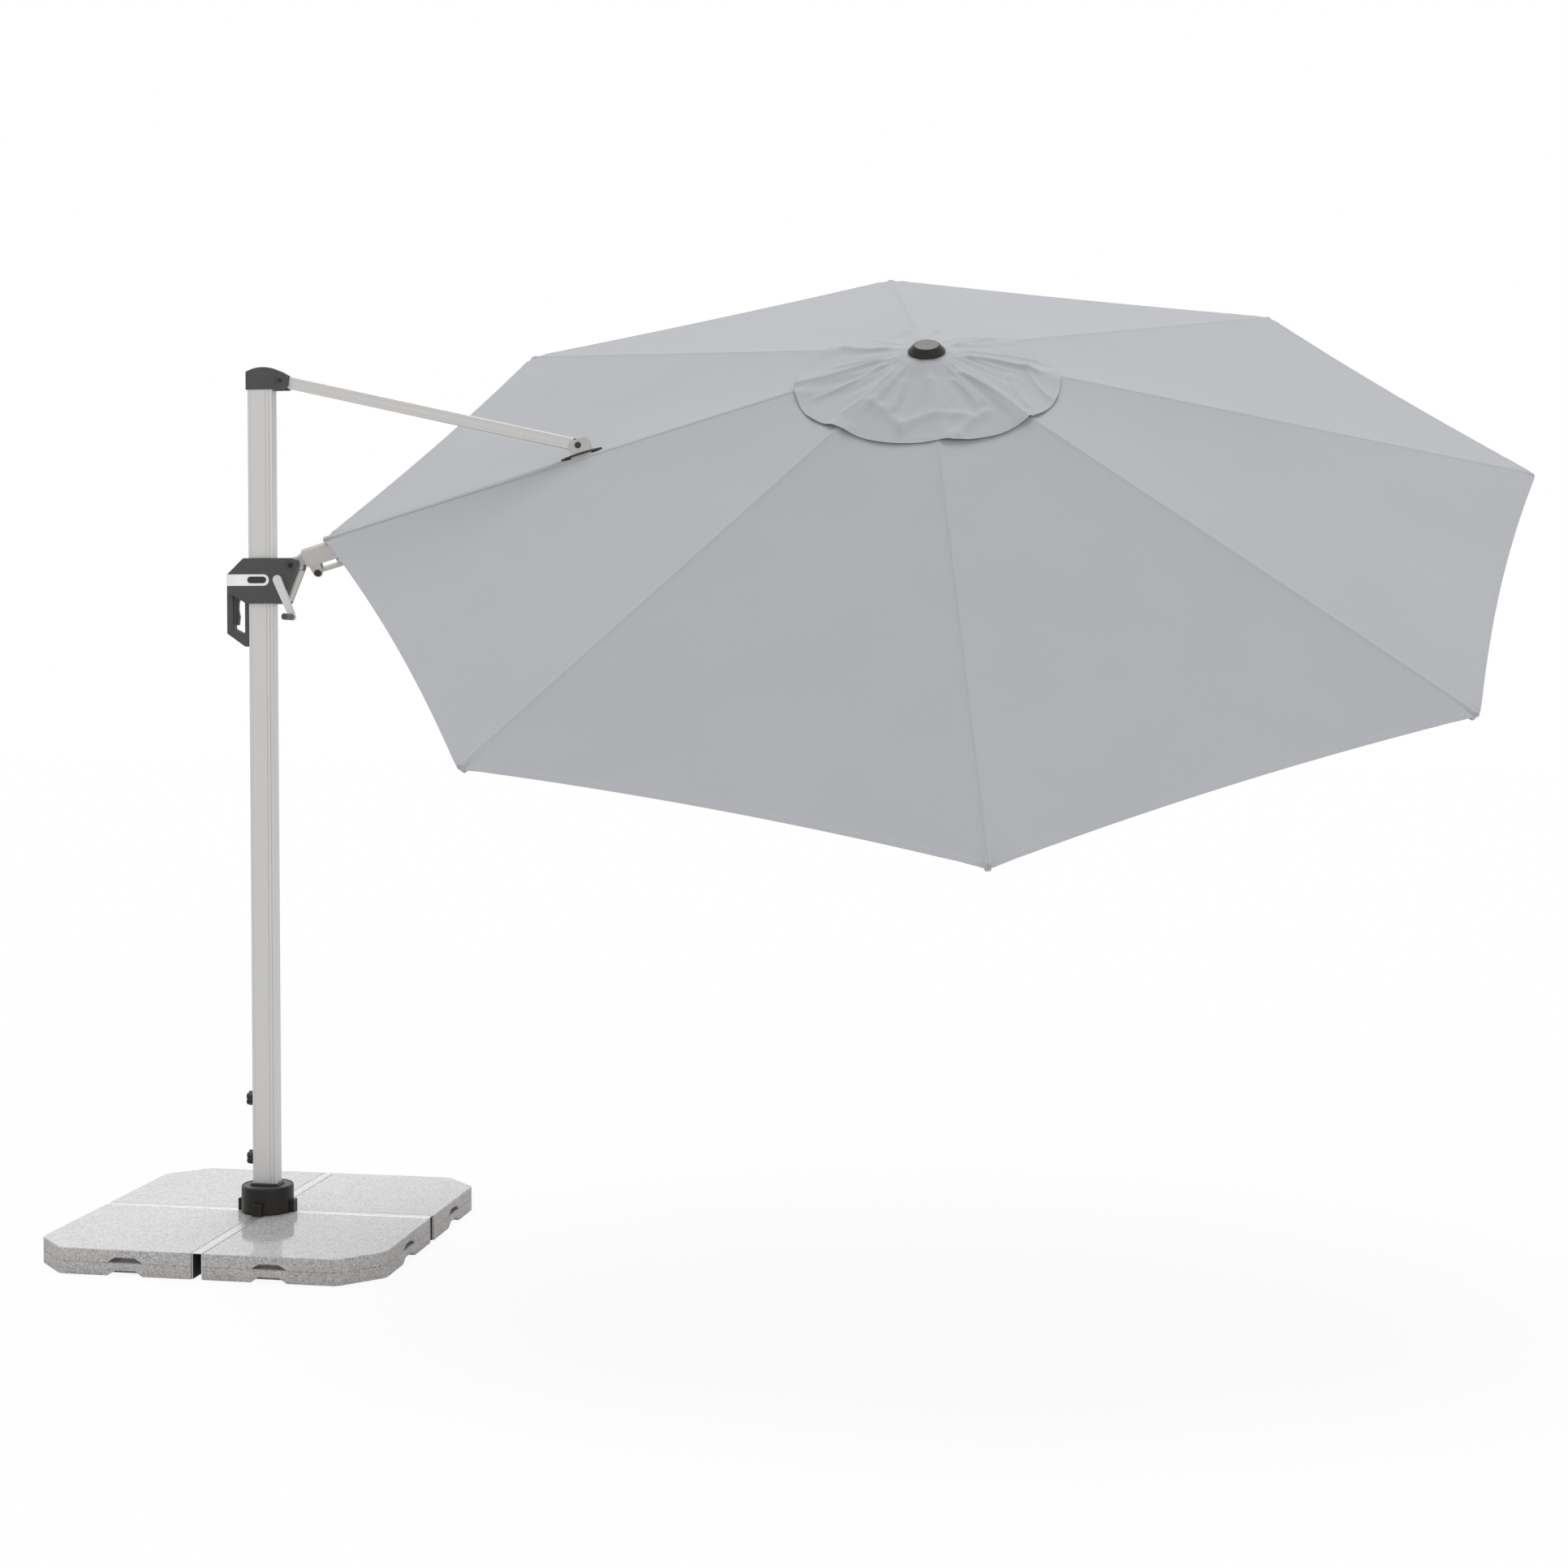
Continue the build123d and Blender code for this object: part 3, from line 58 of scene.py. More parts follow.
PIVOT = Vector((0.096, 0.0, 1.969))  # the arm's hinge on the slider
ROLL_RISE = 0.0125                   # roll axis above that hinge, square to the arm
CLOTH_RISE = 0.040                   # cloth above the roll axis
CORNER_REACH = 0.115                 # corner of the cloth over the carrier, along the arm
BRACKET_REACH = 0.911                # pin of the strut's bracket, along the arm
CANOPY_RADIUS = 1.750
RIB_ANGLE = math.radians(74.43)      # between a rib and the crown's axis
RIB_COUNT = 8
RIM_SAG = 0.023                      # how far a rim edge curves in
VENT_RADIUS = 0.370                  # 2 mm inside the CAD's, which bounds it

CLOTH_LENGTH = CANOPY_RADIUS / math.sin(RIB_ANGLE)
APEX_REACH = CORNER_REACH + CLOTH_LENGTH
RIB_STEP = 2.0 * math.pi / RIB_COUNT

out = Vector((math.cos(ELEVATION), 0.0, math.sin(ELEVATION)))
arm_up = Vector((-math.sin(ELEVATION), 0.0, math.cos(ELEVATION)))
rolled_up = Matrix.Rotation(SIDE_TILT, 3, out) @ arm_up


def placed(origin, x, z):
    """Matrix of a frame from its origin, x and z directions."""
    matrix = Matrix((x, z.cross(x), z)).transposed().to_4x4()
    matrix.translation = origin
    return matrix


CARRIER = placed(PIVOT + arm_up * ROLL_RISE, out, rolled_up)
crown_x = out * math.sin(RIB_ANGLE) - rolled_up * math.cos(RIB_ANGLE)
crown_z = out * math.cos(RIB_ANGLE) + rolled_up * math.sin(RIB_ANGLE)
CROWN = placed(CARRIER @ Vector((APEX_REACH, 0.0, CLOTH_RISE)), crown_x, crown_z)
CROWN_TURN = np.array(CROWN)[:3, :3]
CROWN_PLACE = np.array(CROWN)[:3, 3]


def rib_azimuth(place):
    """Direction about the crown's axis at a place among the ribs; rib 0 is the carrier."""
    return math.pi + RIB_STEP * place


def rib_vector(index):
    """Along a rib from the crown, in crown coordinates."""
    a = rib_azimuth(index)
    s = math.sin(RIB_ANGLE)
    return np.array((math.cos(a) * s, math.sin(a) * s, -math.cos(RIB_ANGLE)))


def rib_normal(index):
    """Square to a rib and away from the ground, in crown coordinates."""
    a = rib_azimuth(index)
    c = math.cos(RIB_ANGLE)
    return np.array((math.cos(a) * c, math.sin(a) * c, math.sin(RIB_ANGLE)))


def panel_body(index):
    return "carrier" if index == 0 else f"rib_arm_{index}"


def to_row(points):
    """Crown coordinates to the row frame."""
    return directions_to_row(points) + CROWN_PLACE


def directions_to_row(vectors):
    return vectors @ CROWN_TURN.T


# ---------------------------------------- shader nodes
def add(tree, kind, links=None, **settings):
    """A node with properties and input values set by name, and inputs linked by name."""
    node = tree.nodes.new(kind)
    for key, value in settings.items():
        if key in node.inputs:
            node.inputs[key].default_value = value
        else:
            setattr(node, key, value)
    for key, output in (links or {}).items():
        tree.links.new(output, node.inputs[key])
    return node


def new_material(name, color, roughness, metallic=0.0, specular=0.5):
    """A material with one Principled shader."""
    mat = bpy.data.materials.new(name)
    mat.use_nodes = True
    mat.diffuse_color = (*color, 1.0)
    tree = mat.node_tree
    tree.nodes.clear()
    settings = {"Base Color": (*color, 1.0), "Roughness": roughness, "Metallic": metallic,
                "Specular IOR Level": specular}
    bsdf = add(tree, "ShaderNodeBsdfPrincipled", **settings)
    add(tree, "ShaderNodeOutputMaterial", links={"Surface": bsdf.outputs["BSDF"]})
    return mat, tree, bsdf


def math_node(tree, operation, a, b=None, clamp=False):
    node = tree.nodes.new("ShaderNodeMath")
    node.operation = operation
    node.use_clamp = clamp
    for slot, value in enumerate((a, b)):
        if value is None:
            continue
        if isinstance(value, (int, float)):
            node.inputs[slot].default_value = value
        else:
            tree.links.new(value, node.inputs[slot])
    return node.outputs["Value"]


def plus(tree, a, b):
    return math_node(tree, "ADD", a, b)


def minus(tree, a, b):
    return math_node(tree, "SUBTRACT", a, b)


def times(tree, a, b):
    return math_node(tree, "MULTIPLY", a, b)


def less(tree, a, b):
    return math_node(tree, "LESS_THAN", a, b)


def magnitude(tree, value):
    return math_node(tree, "ABSOLUTE", value)


def object_coordinates(tree, stretch=(1.0, 1.0, 1.0), turn=0.0):
    """Object coordinates divided by stretch, along axes turned about Y."""
    coords = tree.nodes.new("ShaderNodeTexCoord")
    mapping = add(tree, "ShaderNodeMapping", links={"Vector": coords.outputs["Object"]},
                  vector_type="TEXTURE", Scale=stretch, Rotation=(0.0, turn, 0.0))
    return mapping.outputs["Vector"]


def noise(tree, vector, scale, detail=2.0):
    node = add(tree, "ShaderNodeTexNoise", links={"Vector": vector}, Scale=scale, Detail=detail)
    return node.outputs["Fac"]


def cells(tree, vector, scale):
    """Outputs of a Voronoi pattern: the distance to each cell's middle and a colour per cell."""
    return add(tree, "ShaderNodeTexVoronoi", links={"Vector": vector}, Scale=scale).outputs


def axes(tree, vector):
    """X, Y and Z of a vector, by name."""
    return add(tree, "ShaderNodeSeparateXYZ", links={"Vector": vector}).outputs


def channels(tree, color):
    """Red, Green and Blue of a colour, by name."""
    return add(tree, "ShaderNodeSeparateColor", links={"Color": color}).outputs


def ramp(tree, fac, stops):
    """Colour ramp from (position, colour) stops."""
    node = add(tree, "ShaderNodeValToRGB", links={"Fac": fac})
    elements = node.color_ramp.elements
    while len(elements) < len(stops):
        elements.new(0.5)
    for element, (position, color) in zip(elements, stops):
        element.position = position
        element.color = (*color, 1.0)
    return node.outputs["Color"]


def remap(tree, value, low, high):
    """A 0 to 1 value moved to low to high."""
    node = add(tree, "ShaderNodeMapRange", links={"Value": value}, **{"To Min": low, "To Max": high})
    return node.outputs["Result"]


def add_bump(tree, bsdf, height, strength, distance):
    bump = add(tree, "ShaderNodeBump", links={"Height": height}, Strength=strength, Distance=distance)
    tree.links.new(bump.outputs["Normal"], bsdf.inputs["Normal"])


def grey(level, tint=(1.0, 1.0, 1.0)):
    return tuple(level * t for t in tint)


def vary(tree, bsdf, vector, color, roughness, scale, spread, rough_spread):
    """Slight unevenness of a plain colour and its roughness."""
    fac = noise(tree, vector, scale, detail=3.0)
    low = tuple(c * (1.0 - spread) for c in color)
    high = tuple(min(1.0, c * (1.0 + spread)) for c in color)
    rough = remap(tree, fac, roughness - rough_spread, roughness + rough_spread)
    tree.links.new(ramp(tree, fac, [(0.3, low), (0.7, high)]), bsdf.inputs["Base Color"])
    tree.links.new(rough, bsdf.inputs["Roughness"])
    return fac


# ---------------------------------------- materials
def anodised(name, color, roughness, metallic, stretch=(1.0, 1.0, 1.0), turn=0.0):
    """Aluminium. Where it is drawn, stretch is the length of its fine lines over their width."""
    mat, tree, bsdf = new_material(name, color, roughness, metallic)
    vector = object_coordinates(tree, stretch, turn)
    fac = vary(tree, bsdf, vector, color, roughness, scale=420.0, spread=0.014, rough_spread=0.04)
    add_bump(tree, bsdf, fac, strength=0.05, distance=0.0002)
    return mat


def powder_coat(name, color, roughness):
    mat, tree, bsdf = new_material(name, color, roughness)
    vector = object_coordinates(tree)
    vary(tree, bsdf, vector, color, roughness, scale=9.0, spread=0.03, rough_spread=0.05)
    add_bump(tree, bsdf, noise(tree, vector, scale=1600.0), strength=0.12, distance=0.0002)
    return mat


def moulded(name, color, roughness, grain_scale, grain_strength, specular=0.5):
    """Moulded plastic with an eroded grain."""
    mat, tree, bsdf = new_material(name, color, roughness, specular=specular)
    vector = object_coordinates(tree)
    vary(tree, bsdf, vector, color, roughness, scale=14.0, spread=0.10, rough_spread=0.06)
    grain = cells(tree, vector, grain_scale)["Distance"]
    add_bump(tree, bsdf, grain, grain_strength, distance=0.0003)
    return mat


ARM_INSIDE = 0.0123                  # half width of the hollow cross arms' inside
ARM_INSIDE_TOP = 0.0698
# UNLIT is painted shade inside the hollow cross arms; UNLIT_ROUGHNESS dulls its reflections there
UNLIT = (0.05, 0.05, 0.05, 1.0)
UNLIT_ROUGHNESS = 0.9
SPANGLE_GAIN = 1.4


def galvanised(name):
    """Zinc with a faint spangle, and painted shade inside the hollow cross arms."""
    mat, tree, bsdf = new_material(name, grey(0.62, (0.99, 1.0, 1.01)), roughness=0.35, metallic=0.85)
    vector = object_coordinates(tree)
    spangle = cells(tree, vector, scale=90.0)["Distance"]
    spangle = math_node(tree, "MULTIPLY", spangle, SPANGLE_GAIN, clamp=True)
    zinc = ramp(tree, spangle, [(0.0, grey(0.56)), (1.0, grey(0.68))])
    place = axes(tree, vector)
    aside = math_node(tree, "MINIMUM", magnitude(tree, place["X"]), magnitude(tree, place["Y"]))
    # painted shade: 1 on the faces inside the hollow cross arms, 0 elsewhere
    inside = times(tree, less(tree, aside, ARM_INSIDE), less(tree, place["Z"], ARM_INSIDE_TOP))
    color = add(tree, "ShaderNodeMix", data_type="RGBA", B=UNLIT)
    tree.links.new(inside, color.inputs["Factor"])
    tree.links.new(zinc, color.inputs["A"])
    tree.links.new(color.outputs["Result"], bsdf.inputs["Base Color"])
    smeared = remap(tree, noise(tree, vector, scale=40.0), 0.28, 0.45)
    rough = math_node(tree, "MAXIMUM", smeared, times(tree, inside, UNLIT_ROUGHNESS))
    tree.links.new(rough, bsdf.inputs["Roughness"])
    return mat


COARSE_GRAIN = 330.0                 # grains per metre
FINE_GRAIN = 760.0
COARSE_SHARE = 0.62
GRAIN_STOPS = ((0.08, grey(0.18)), (0.20, grey(0.33)), (0.32, grey(0.47)),
               (0.60, grey(0.58, (1.0, 0.992, 0.985))), (0.86, grey(0.70)))
# painted shade: each colour channel of the sides as a share of the top's, darker and a little warmer
GRANITE_SIDE_SHADE = (("Red", 0.96), ("Green", 0.938), ("Blue", 0.925))
GRANITE_ROUGHNESS = (0.75, 0.07)     # flamed sides, polished top
GRANITE_RELIEF = (1.0, 0.02)         # likewise
FACES_UP = 0.9                       # least height of a normal on a slab's top


def granite(name):
    """Speckled grey granite, polished on top and flamed on its sides, with painted shade on the sides."""
    mat, tree, bsdf = new_material(name, grey(0.4), roughness=0.4)
    vector = object_coordinates(tree)
    coarse = channels(tree, cells(tree, vector, COARSE_GRAIN)["Color"])["Red"]
    fine = channels(tree, cells(tree, vector, FINE_GRAIN)["Color"])["Green"]
    grain = plus(tree, times(tree, coarse, COARSE_SHARE), times(tree, fine, 1.0 - COARSE_SHARE))
    cloud = remap(tree, noise(tree, vector, scale=26.0, detail=3.0), -0.10, 0.10)
    grain = plus(tree, grain, cloud)
    normal = tree.nodes.new("ShaderNodeNewGeometry").outputs["Normal"]
    top = math_node(tree, "GREATER_THAN", axes(tree, normal)["Z"], FACES_UP)
    # painted shade: the sides' colour scaled down from the top's
    tint = tree.nodes.new("ShaderNodeCombineColor")
    for channel, side_shade in GRANITE_SIDE_SHADE:
        tree.links.new(remap(tree, top, side_shade, 1.0), tint.inputs[channel])
    color = add(tree, "ShaderNodeMix", data_type="RGBA", blend_type="MULTIPLY", Factor=1.0)
    tree.links.new(ramp(tree, grain, GRAIN_STOPS), color.inputs["A"])
    tree.links.new(tint.outputs["Color"], color.inputs["B"])
    tree.links.new(color.outputs["Result"], bsdf.inputs["Base Color"])
    tree.links.new(remap(tree, top, *GRANITE_ROUGHNESS), bsdf.inputs["Roughness"])
    relief = times(tree, grain, remap(tree, top, *GRANITE_RELIEF))
    add_bump(tree, bsdf, relief, strength=0.55, distance=0.0015)
    return mat


WEAVE_PITCH = 0.0011
SEAM_HALF = 0.0011                   # half width of a seam's line
SEAM_STITCH = 0.0052                 # from a seam to the stitches beside it
HEM_STITCH = 0.0135                  # from the rim to the hem's stitches
STITCH_LENGTH = 0.0042
STITCH_HALF = 0.0005                 # half width of the thread
STITCH_SHARE = 0.72                  # of a stitch's length that shows thread
SEAM_SHADE = 0.15                    # how much darker a seam's line is
STITCH_SHADE = 0.06
WEAVE_HEIGHT = 0.25                  # heights as shares of the bump's distance
SEAM_DEPTH = 1.2
STITCH_DEPTH = 1.5


def stitches(tree, distance, line, run):
    """1 on a row of stitches that lies at a distance of line and runs along run."""
    off = magnitude(tree, minus(tree, distance, line))
    phase = math_node(tree, "FRACT", math_node(tree, "DIVIDE", run, STITCH_LENGTH))
    return times(tree, less(tree, off, STITCH_HALF), less(tree, phase, STITCH_SHARE))


def cloth(name, color):
    """Woven polyester. UV map Cloth holds metres across and along a rib, Edge the distance to the rim."""
    mat, tree, bsdf = new_material(name, color, roughness=0.85, specular=0.25)
    bsdf.inputs["Sheen Weight"].default_value = 0.12
    bsdf.inputs["Sheen Roughness"].default_value = 0.5
    place = axes(tree, add(tree, "ShaderNodeUVMap", uv_map="Cloth").outputs["UV"])
    rim = axes(tree, add(tree, "ShaderNodeUVMap", uv_map="Edge").outputs["UV"])["X"]
    across, along = place["X"], place["Y"]
    waves = 2.0 * math.pi / WEAVE_PITCH
    warp = math_node(tree, "SINE", times(tree, across, waves))
    weft = math_node(tree, "SINE", times(tree, along, waves))
    aside = magnitude(tree, across)
    seam = less(tree, aside, SEAM_HALF)
    seam_thread = stitches(tree, aside, SEAM_STITCH, along)
    sewn = math_node(tree, "MAXIMUM", seam_thread, stitches(tree, rim, HEM_STITCH, across))
    vector = object_coordinates(tree)
    cloud = remap(tree, noise(tree, vector, scale=3.0, detail=4.0), 0.965, 1.035)
    thread = remap(tree, noise(tree, vector, scale=900.0), -0.05, 0.05)
    level = minus(tree, plus(tree, cloud, thread), times(tree, seam, SEAM_SHADE))
    level = minus(tree, level, times(tree, sewn, STITCH_SHADE))
    tint = add(tree, "ShaderNodeVectorMath", operation="SCALE")
    tint.inputs["Vector"].default_value = color
    tree.links.new(level, tint.inputs["Scale"])
    tree.links.new(tint.outputs["Vector"], bsdf.inputs["Base Color"])
    height = times(tree, times(tree, warp, weft), WEAVE_HEIGHT)
    height = minus(tree, height, times(tree, sewn, STITCH_DEPTH))
    height = minus(tree, height, times(tree, seam, SEAM_DEPTH))
    add_bump(tree, bsdf, height, strength=0.35, distance=0.0003)
    return mat


DRAWN = 80.0                         # length of the lines in drawn aluminium over their width
STRUT_FALL = math.radians(12.6)      # strut below level, from the mast outwards
palette = {
    "granite": granite("granite"),
    "galvanised_steel": galvanised("galvanised_steel"),
    "black_plastic": moulded("black_plastic", grey(0.016), 0.42, grain_scale=900.0, grain_strength=0.10),
    "charcoal_plastic": moulded("charcoal_plastic", (0.060, 0.060, 0.061), 0.50, grain_scale=1300.0,
                                grain_strength=0.22),
    "white_plastic": moulded("white_plastic", grey(0.92), 0.38, grain_scale=700.0, grain_strength=0.04),
    "silver_aluminium": anodised("silver_aluminium", (0.63, 0.622, 0.616), 0.42, 0.55, (1.0, 1.0, DRAWN)),
    "grey_casting": powder_coat("grey_casting", (0.535, 0.515, 0.488), 0.42),
    "canopy_cloth": cloth("canopy_cloth", (0.420, 0.426, 0.448)),
}
strut_metal = anodised("strut_aluminium", (0.66, 0.642, 0.626), 0.56, 0.30, (DRAWN, 1.0, 1.0), STRUT_FALL)
crank_metal = anodised("crank_aluminium", (0.68, 0.675, 0.668), 0.44, 0.35)
deep_black = moulded("finial_black", (0.020, 0.018, 0.016), 0.36, grain_scale=900.0, grain_strength=0.05,
                     specular=0.22)
NODE_MATERIALS = {
    "strut_bar": strut_metal,
    "crank_arm": crank_metal,
    **dict.fromkeys(("finial", "pivot_pin", "swivel_housing", "foot_insert", "cap_pin"), deep_black),
}


def dress_nodes():
    """Gives each CAD node its own material, or else that of its slot."""
    slots = {s["node"]: s["material_slot"] for s in frame["record"]["subparts"]}
    for name, obj in frame["nodes"].items():
        for holder in obj.material_slots:
            holder.material = NODE_MATERIALS.get(name, palette[slots[name]])


# ---------------------------------------- meshes
def mesh_piece(name, verts, faces, material, smooth=True):
    mesh = bpy.data.meshes.new(name)
    mesh.from_pydata([tuple(v) for v in verts], [], faces)
    mesh.materials.append(material)
    mesh.polygons.foreach_set("use_smooth", [smooth] * len(mesh.polygons))
    mesh.update()
    obj = bpy.data.objects.new(name, mesh)
    bpy.context.scene.collection.objects.link(obj)
    return obj


def ring_faces(rings, count):
    """Quads between neighbouring rings of count points each, closed round."""
    faces = []
    for ring in range(rings - 1):
        here, beyond = ring * count, (ring + 1) * count
        for k in range(count):
            after = (k + 1) % count
            faces.append((here + k, beyond + k, beyond + after, here + after))
    return faces


def turned_over(face):
    """The same face from its other side, with the same first corner."""
    return (face[0], *face[:0:-1])


def surface_normals(points):
    """Unit normals of a grid of points, shape (rows, columns, 3)."""
    normal = np.cross(np.gradient(points, axis=1), np.gradient(points, axis=0))
    return normal / np.maximum(np.linalg.norm(normal, axis=2, keepdims=True), 1e-12)


def cell_quads(rows, columns, keep):
    """Cells of a grid of points, without those that keep marks False."""
    index = np.arange(rows * columns).reshape(rows, columns).tolist()
    quads = []
    for r in range(rows - 1):
        for c in range(columns - 1):
            if keep is None or keep[r, c]:
                quads.append((index[r][c], index[r][c + 1], index[r + 1][c + 1], index[r + 1][c]))
    return quads


def facing(quads, points, normals):
    """The same cells, turned so that they face along the normals."""
    corners = np.array(quads)
    start = points[corners[:, 0]]
    turn = np.cross(points[corners[:, 1]] - start, points[corners[:, 3]] - start)
    if np.sum(turn * normals[corners[:, 0]]) < 0:
        return [quad[::-1] for quad in quads]
    return quads


def edge_walls(quads, count):
    """Narrow faces along every free edge, from the top points to the bottom points count further on."""
    edges = [pair for quad in quads for pair in zip(quad, quad[1:] + quad[:1])]
    known = set(edges)
    return [(b, a, a + count, b + count) for a, b in edges if (b, a) not in known]


def set_uv(mesh, label, values):
    """UV map from a value per top point, the same for the bottom."""
    layer = mesh.uv_layers.new(name=label)
    both = np.vstack([values.reshape(-1, 2)] * 2)
    loops = np.zeros(len(mesh.loops), dtype=np.int32)
    mesh.loops.foreach_get("vertex_index", loops)
    layer.data.foreach_set("uv", both[loops].ravel())


def set_normals(mesh, normals, sheet_faces):
    """Keeps the grid's normals on top and bottom, so that neighbouring pieces shade as one cloth."""
    both = np.vstack([normals, -normals])
    custom = []
    for polygon in mesh.polygons:
        wall = polygon.index >= sheet_faces
        for loop in polygon.loop_indices:
            normal = polygon.normal if wall else both[mesh.loops[loop].vertex_index]
            custom.append(tuple(normal))
    mesh.normals_split_custom_set(custom)


def cloth_shell(name, points, normals, cloth_uv, edge_uv, thickness, keep=None):
    """Closed thin sheet from a grid in the row frame, and the area of its top."""
    rows, columns = points.shape[:2]
    count = rows * columns
    top = points.reshape(-1, 3)
    flat_normals = normals.reshape(-1, 3)
    quads = facing(cell_quads(rows, columns, keep), top, flat_normals)
    under = [tuple(v + count for v in reversed(quad)) for quad in quads]
    verts = np.vstack([top, top - flat_normals * thickness])
    obj = mesh_piece(name, verts, quads + under + edge_walls(quads, count), palette["canopy_cloth"])
    set_uv(obj.data, "Cloth", cloth_uv)
    set_uv(obj.data, "Edge", edge_uv)
    sheet_area = sum(obj.data.polygons[i].area for i in range(len(quads)))
    set_normals(obj.data, flat_normals, 2 * len(quads))
    return obj, sheet_area


def upright(normals, up):
    """The same normals, turned to the side of up."""
    return normals if np.mean(normals @ up) > 0 else -normals


def below(value, limit, softness):
    """1 where a value is below a limit and 0 above it, with a soft step between."""
    return 0.5 - 0.5 * np.tanh((value - limit) / softness)


def eased(value):
    """0 to 1 with a gentle start and end."""
    value = np.clip(value, 0.0, 1.0)
    return value * value * (3.0 - 2.0 * value)


# ---------------------------------------- canopy
CLOTH_THICKNESS = 0.0010
CLOTH_SAG = 0.011                    # scale of the hang between two ribs
SAG_MIDDLE = 3.4                     # weight of the part that is fullest halfway along the ribs
SAG_RIM = 0.15                       # and of the part that grows towards the rim
SEAM_LIFT = 0.0010                   # seam over a rib
SEAM_SPREAD = 0.008
HEM_WIDTH = 0.0165
HEM_RISE = 0.0006
HEM_STEP = 0.0008
PUCKER_HEIGHT = 0.0016               # small folds that gather towards a corner
PUCKER_WAVES = 170.0                 # radians per metre across
PUCKER_ALONG = 0.075
PUCKER_ACROSS = 0.09
PUCKER_START = 0.01
HALF_CHORD = math.sin(math.acos(float(rib_vector(0) @ rib_vector(1))) / 2.0)
CHORD_COS = math.cos(math.asin(HALF_CHORD))
HOLE_REACH = 0.047                   # hole in the canopy at the crown
NEAR_RIB = np.array([0.0, 0.0012, 0.0030, 0.0055, 0.0085, 0.0100, 0.0115, 0.0160, 0.0240])
NEAR_RIM = np.array([0.0, 0.0008, 0.0030, 0.0080, 0.0130, HEM_WIDTH - 0.0007, HEM_WIDTH + 0.0007,
                     0.0230, 0.0350])
NEAR_SHARE = 1.6                     # half width that the columns beside a rib need, over their own
NEAR_END = 0.9                       # share of a gore's half beyond which columns are spread evenly
FAR_COLUMNS = 26
FAR_ROWS = 74
SLEEVE_HALF = 0.0095                 # sewn sleeve on the carrier's rail
SLEEVE_LIFT = 0.0009
SLEEVE_STEP = 0.0009
SLEEVE_DOUBLE = 0.90                 # reach from the crown where the sleeve starts to double
SLEEVE_DOUBLING = 0.15               # and the length over which it does
SLEEVE_COLUMNS = np.concatenate([[0.0, 0.0020, 0.0045, 0.0070, 0.0083, 0.0092, 0.0104],
                                 np.arange(0.0130, 0.0460, 0.0022)])
SLIT_CENTRE = (BRACKET_REACH, 0.0238)    # opening round the strut's bracket, in the carrier's frame
SLIT_HALF = (0.0325, 0.0170)
SLIT_POWER = 4
SLIT_ROWS = 26
SLIT_SPAN = 0.052                    # of close rows on each side of the opening
SLIT_MARGIN = 1.1


def rim_reach(t):
    """How far along the cloth its hollow rim lies, at t from rib (0) to the middle of a gore (1)."""
    return CLOTH_LENGTH - RIM_SAG / CHORD_COS * (1.0 - (1.0 - t) ** 2)


def sag_at(reach):
    """How far the middle of a gore hangs under the straight line between its ribs."""
    a = reach / CLOTH_LENGTH
    return CLOTH_SAG * (SAG_MIDDLE * a * (1.0 - a) + SAG_RIM * a)


def across_positions(half_width, beside):
    """Distances from a rib to the middle of the gore, close together beside the rib."""
    near = beside * min(1.0, half_width / (beside[-1] * NEAR_SHARE))
    rest = near[-1] + (half_width - near[-1]) * np.linspace(0.0, 1.0, FAR_COLUMNS + 1)[1:]
    return np.concatenate([near, rest])


def rib_lift(index, across, reach):
    """Height of the cloth over a rib, and of the sleeve over the carrier's rail."""
    if index:
        return SEAM_LIFT * np.exp(-(across / SEAM_SPREAD) ** 2)
    doubled = np.clip((reach - SLEEVE_DOUBLE) / SLEEVE_DOUBLING, 0.0, 1.0)
    return SLEEVE_LIFT * (1.0 + doubled) * below(across, SLEEVE_HALF, SLEEVE_STEP)


def row_shares(index, inner_end):
    """Rows from the hole to the hem as shares of the way, with close ones at the carrier's slit."""
    shares = np.linspace(0.0, 1.0, FAR_ROWS + 1)[:-1]
    if index:
        return shares
    slit_share = (APEX_REACH - BRACKET_REACH - HOLE_REACH) / (inner_end - HOLE_REACH)
    half_span = SLIT_SPAN / inner_end
    close = np.linspace(slit_share - half_span, slit_share + half_span, SLIT_ROWS)
    apart = np.abs(shares - slit_share) > half_span * SLIT_MARGIN
    return np.sort(np.concatenate([shares[apart], close]))


def half_grid(index):
    """Reach along the rib, distance across it and distance to the rim, over half a panel."""
    beside = NEAR_RIB if index else SLEEVE_COLUMNS
    inner_end = CLOTH_LENGTH - NEAR_RIM[-1]
    shares = row_shares(index, inner_end)
    to_rim = NEAR_RIM[::-1]
    on_rib = np.concatenate([HOLE_REACH + (inner_end - HOLE_REACH) * shares, CLOTH_LENGTH - to_rim])
    half_widths = on_rib * HALF_CHORD
    place = np.array([across_positions(half, beside) / half for half in half_widths])
    limit = rim_reach(place)
    inner, hem = limit[:len(shares)], limit[len(shares):]
    reach = np.concatenate([HOLE_REACH + (inner - NEAR_RIM[-1] - HOLE_REACH) * shares[:, None],
                            hem - to_rim[:, None]])
    across = place * reach * HALF_CHORD
    near = np.minimum(across[:, :len(beside)], beside)
    across[:, :len(beside)] = np.where(place[:, :len(beside)] < NEAR_END, near, across[:, :len(beside)])
    return reach, across, limit - reach


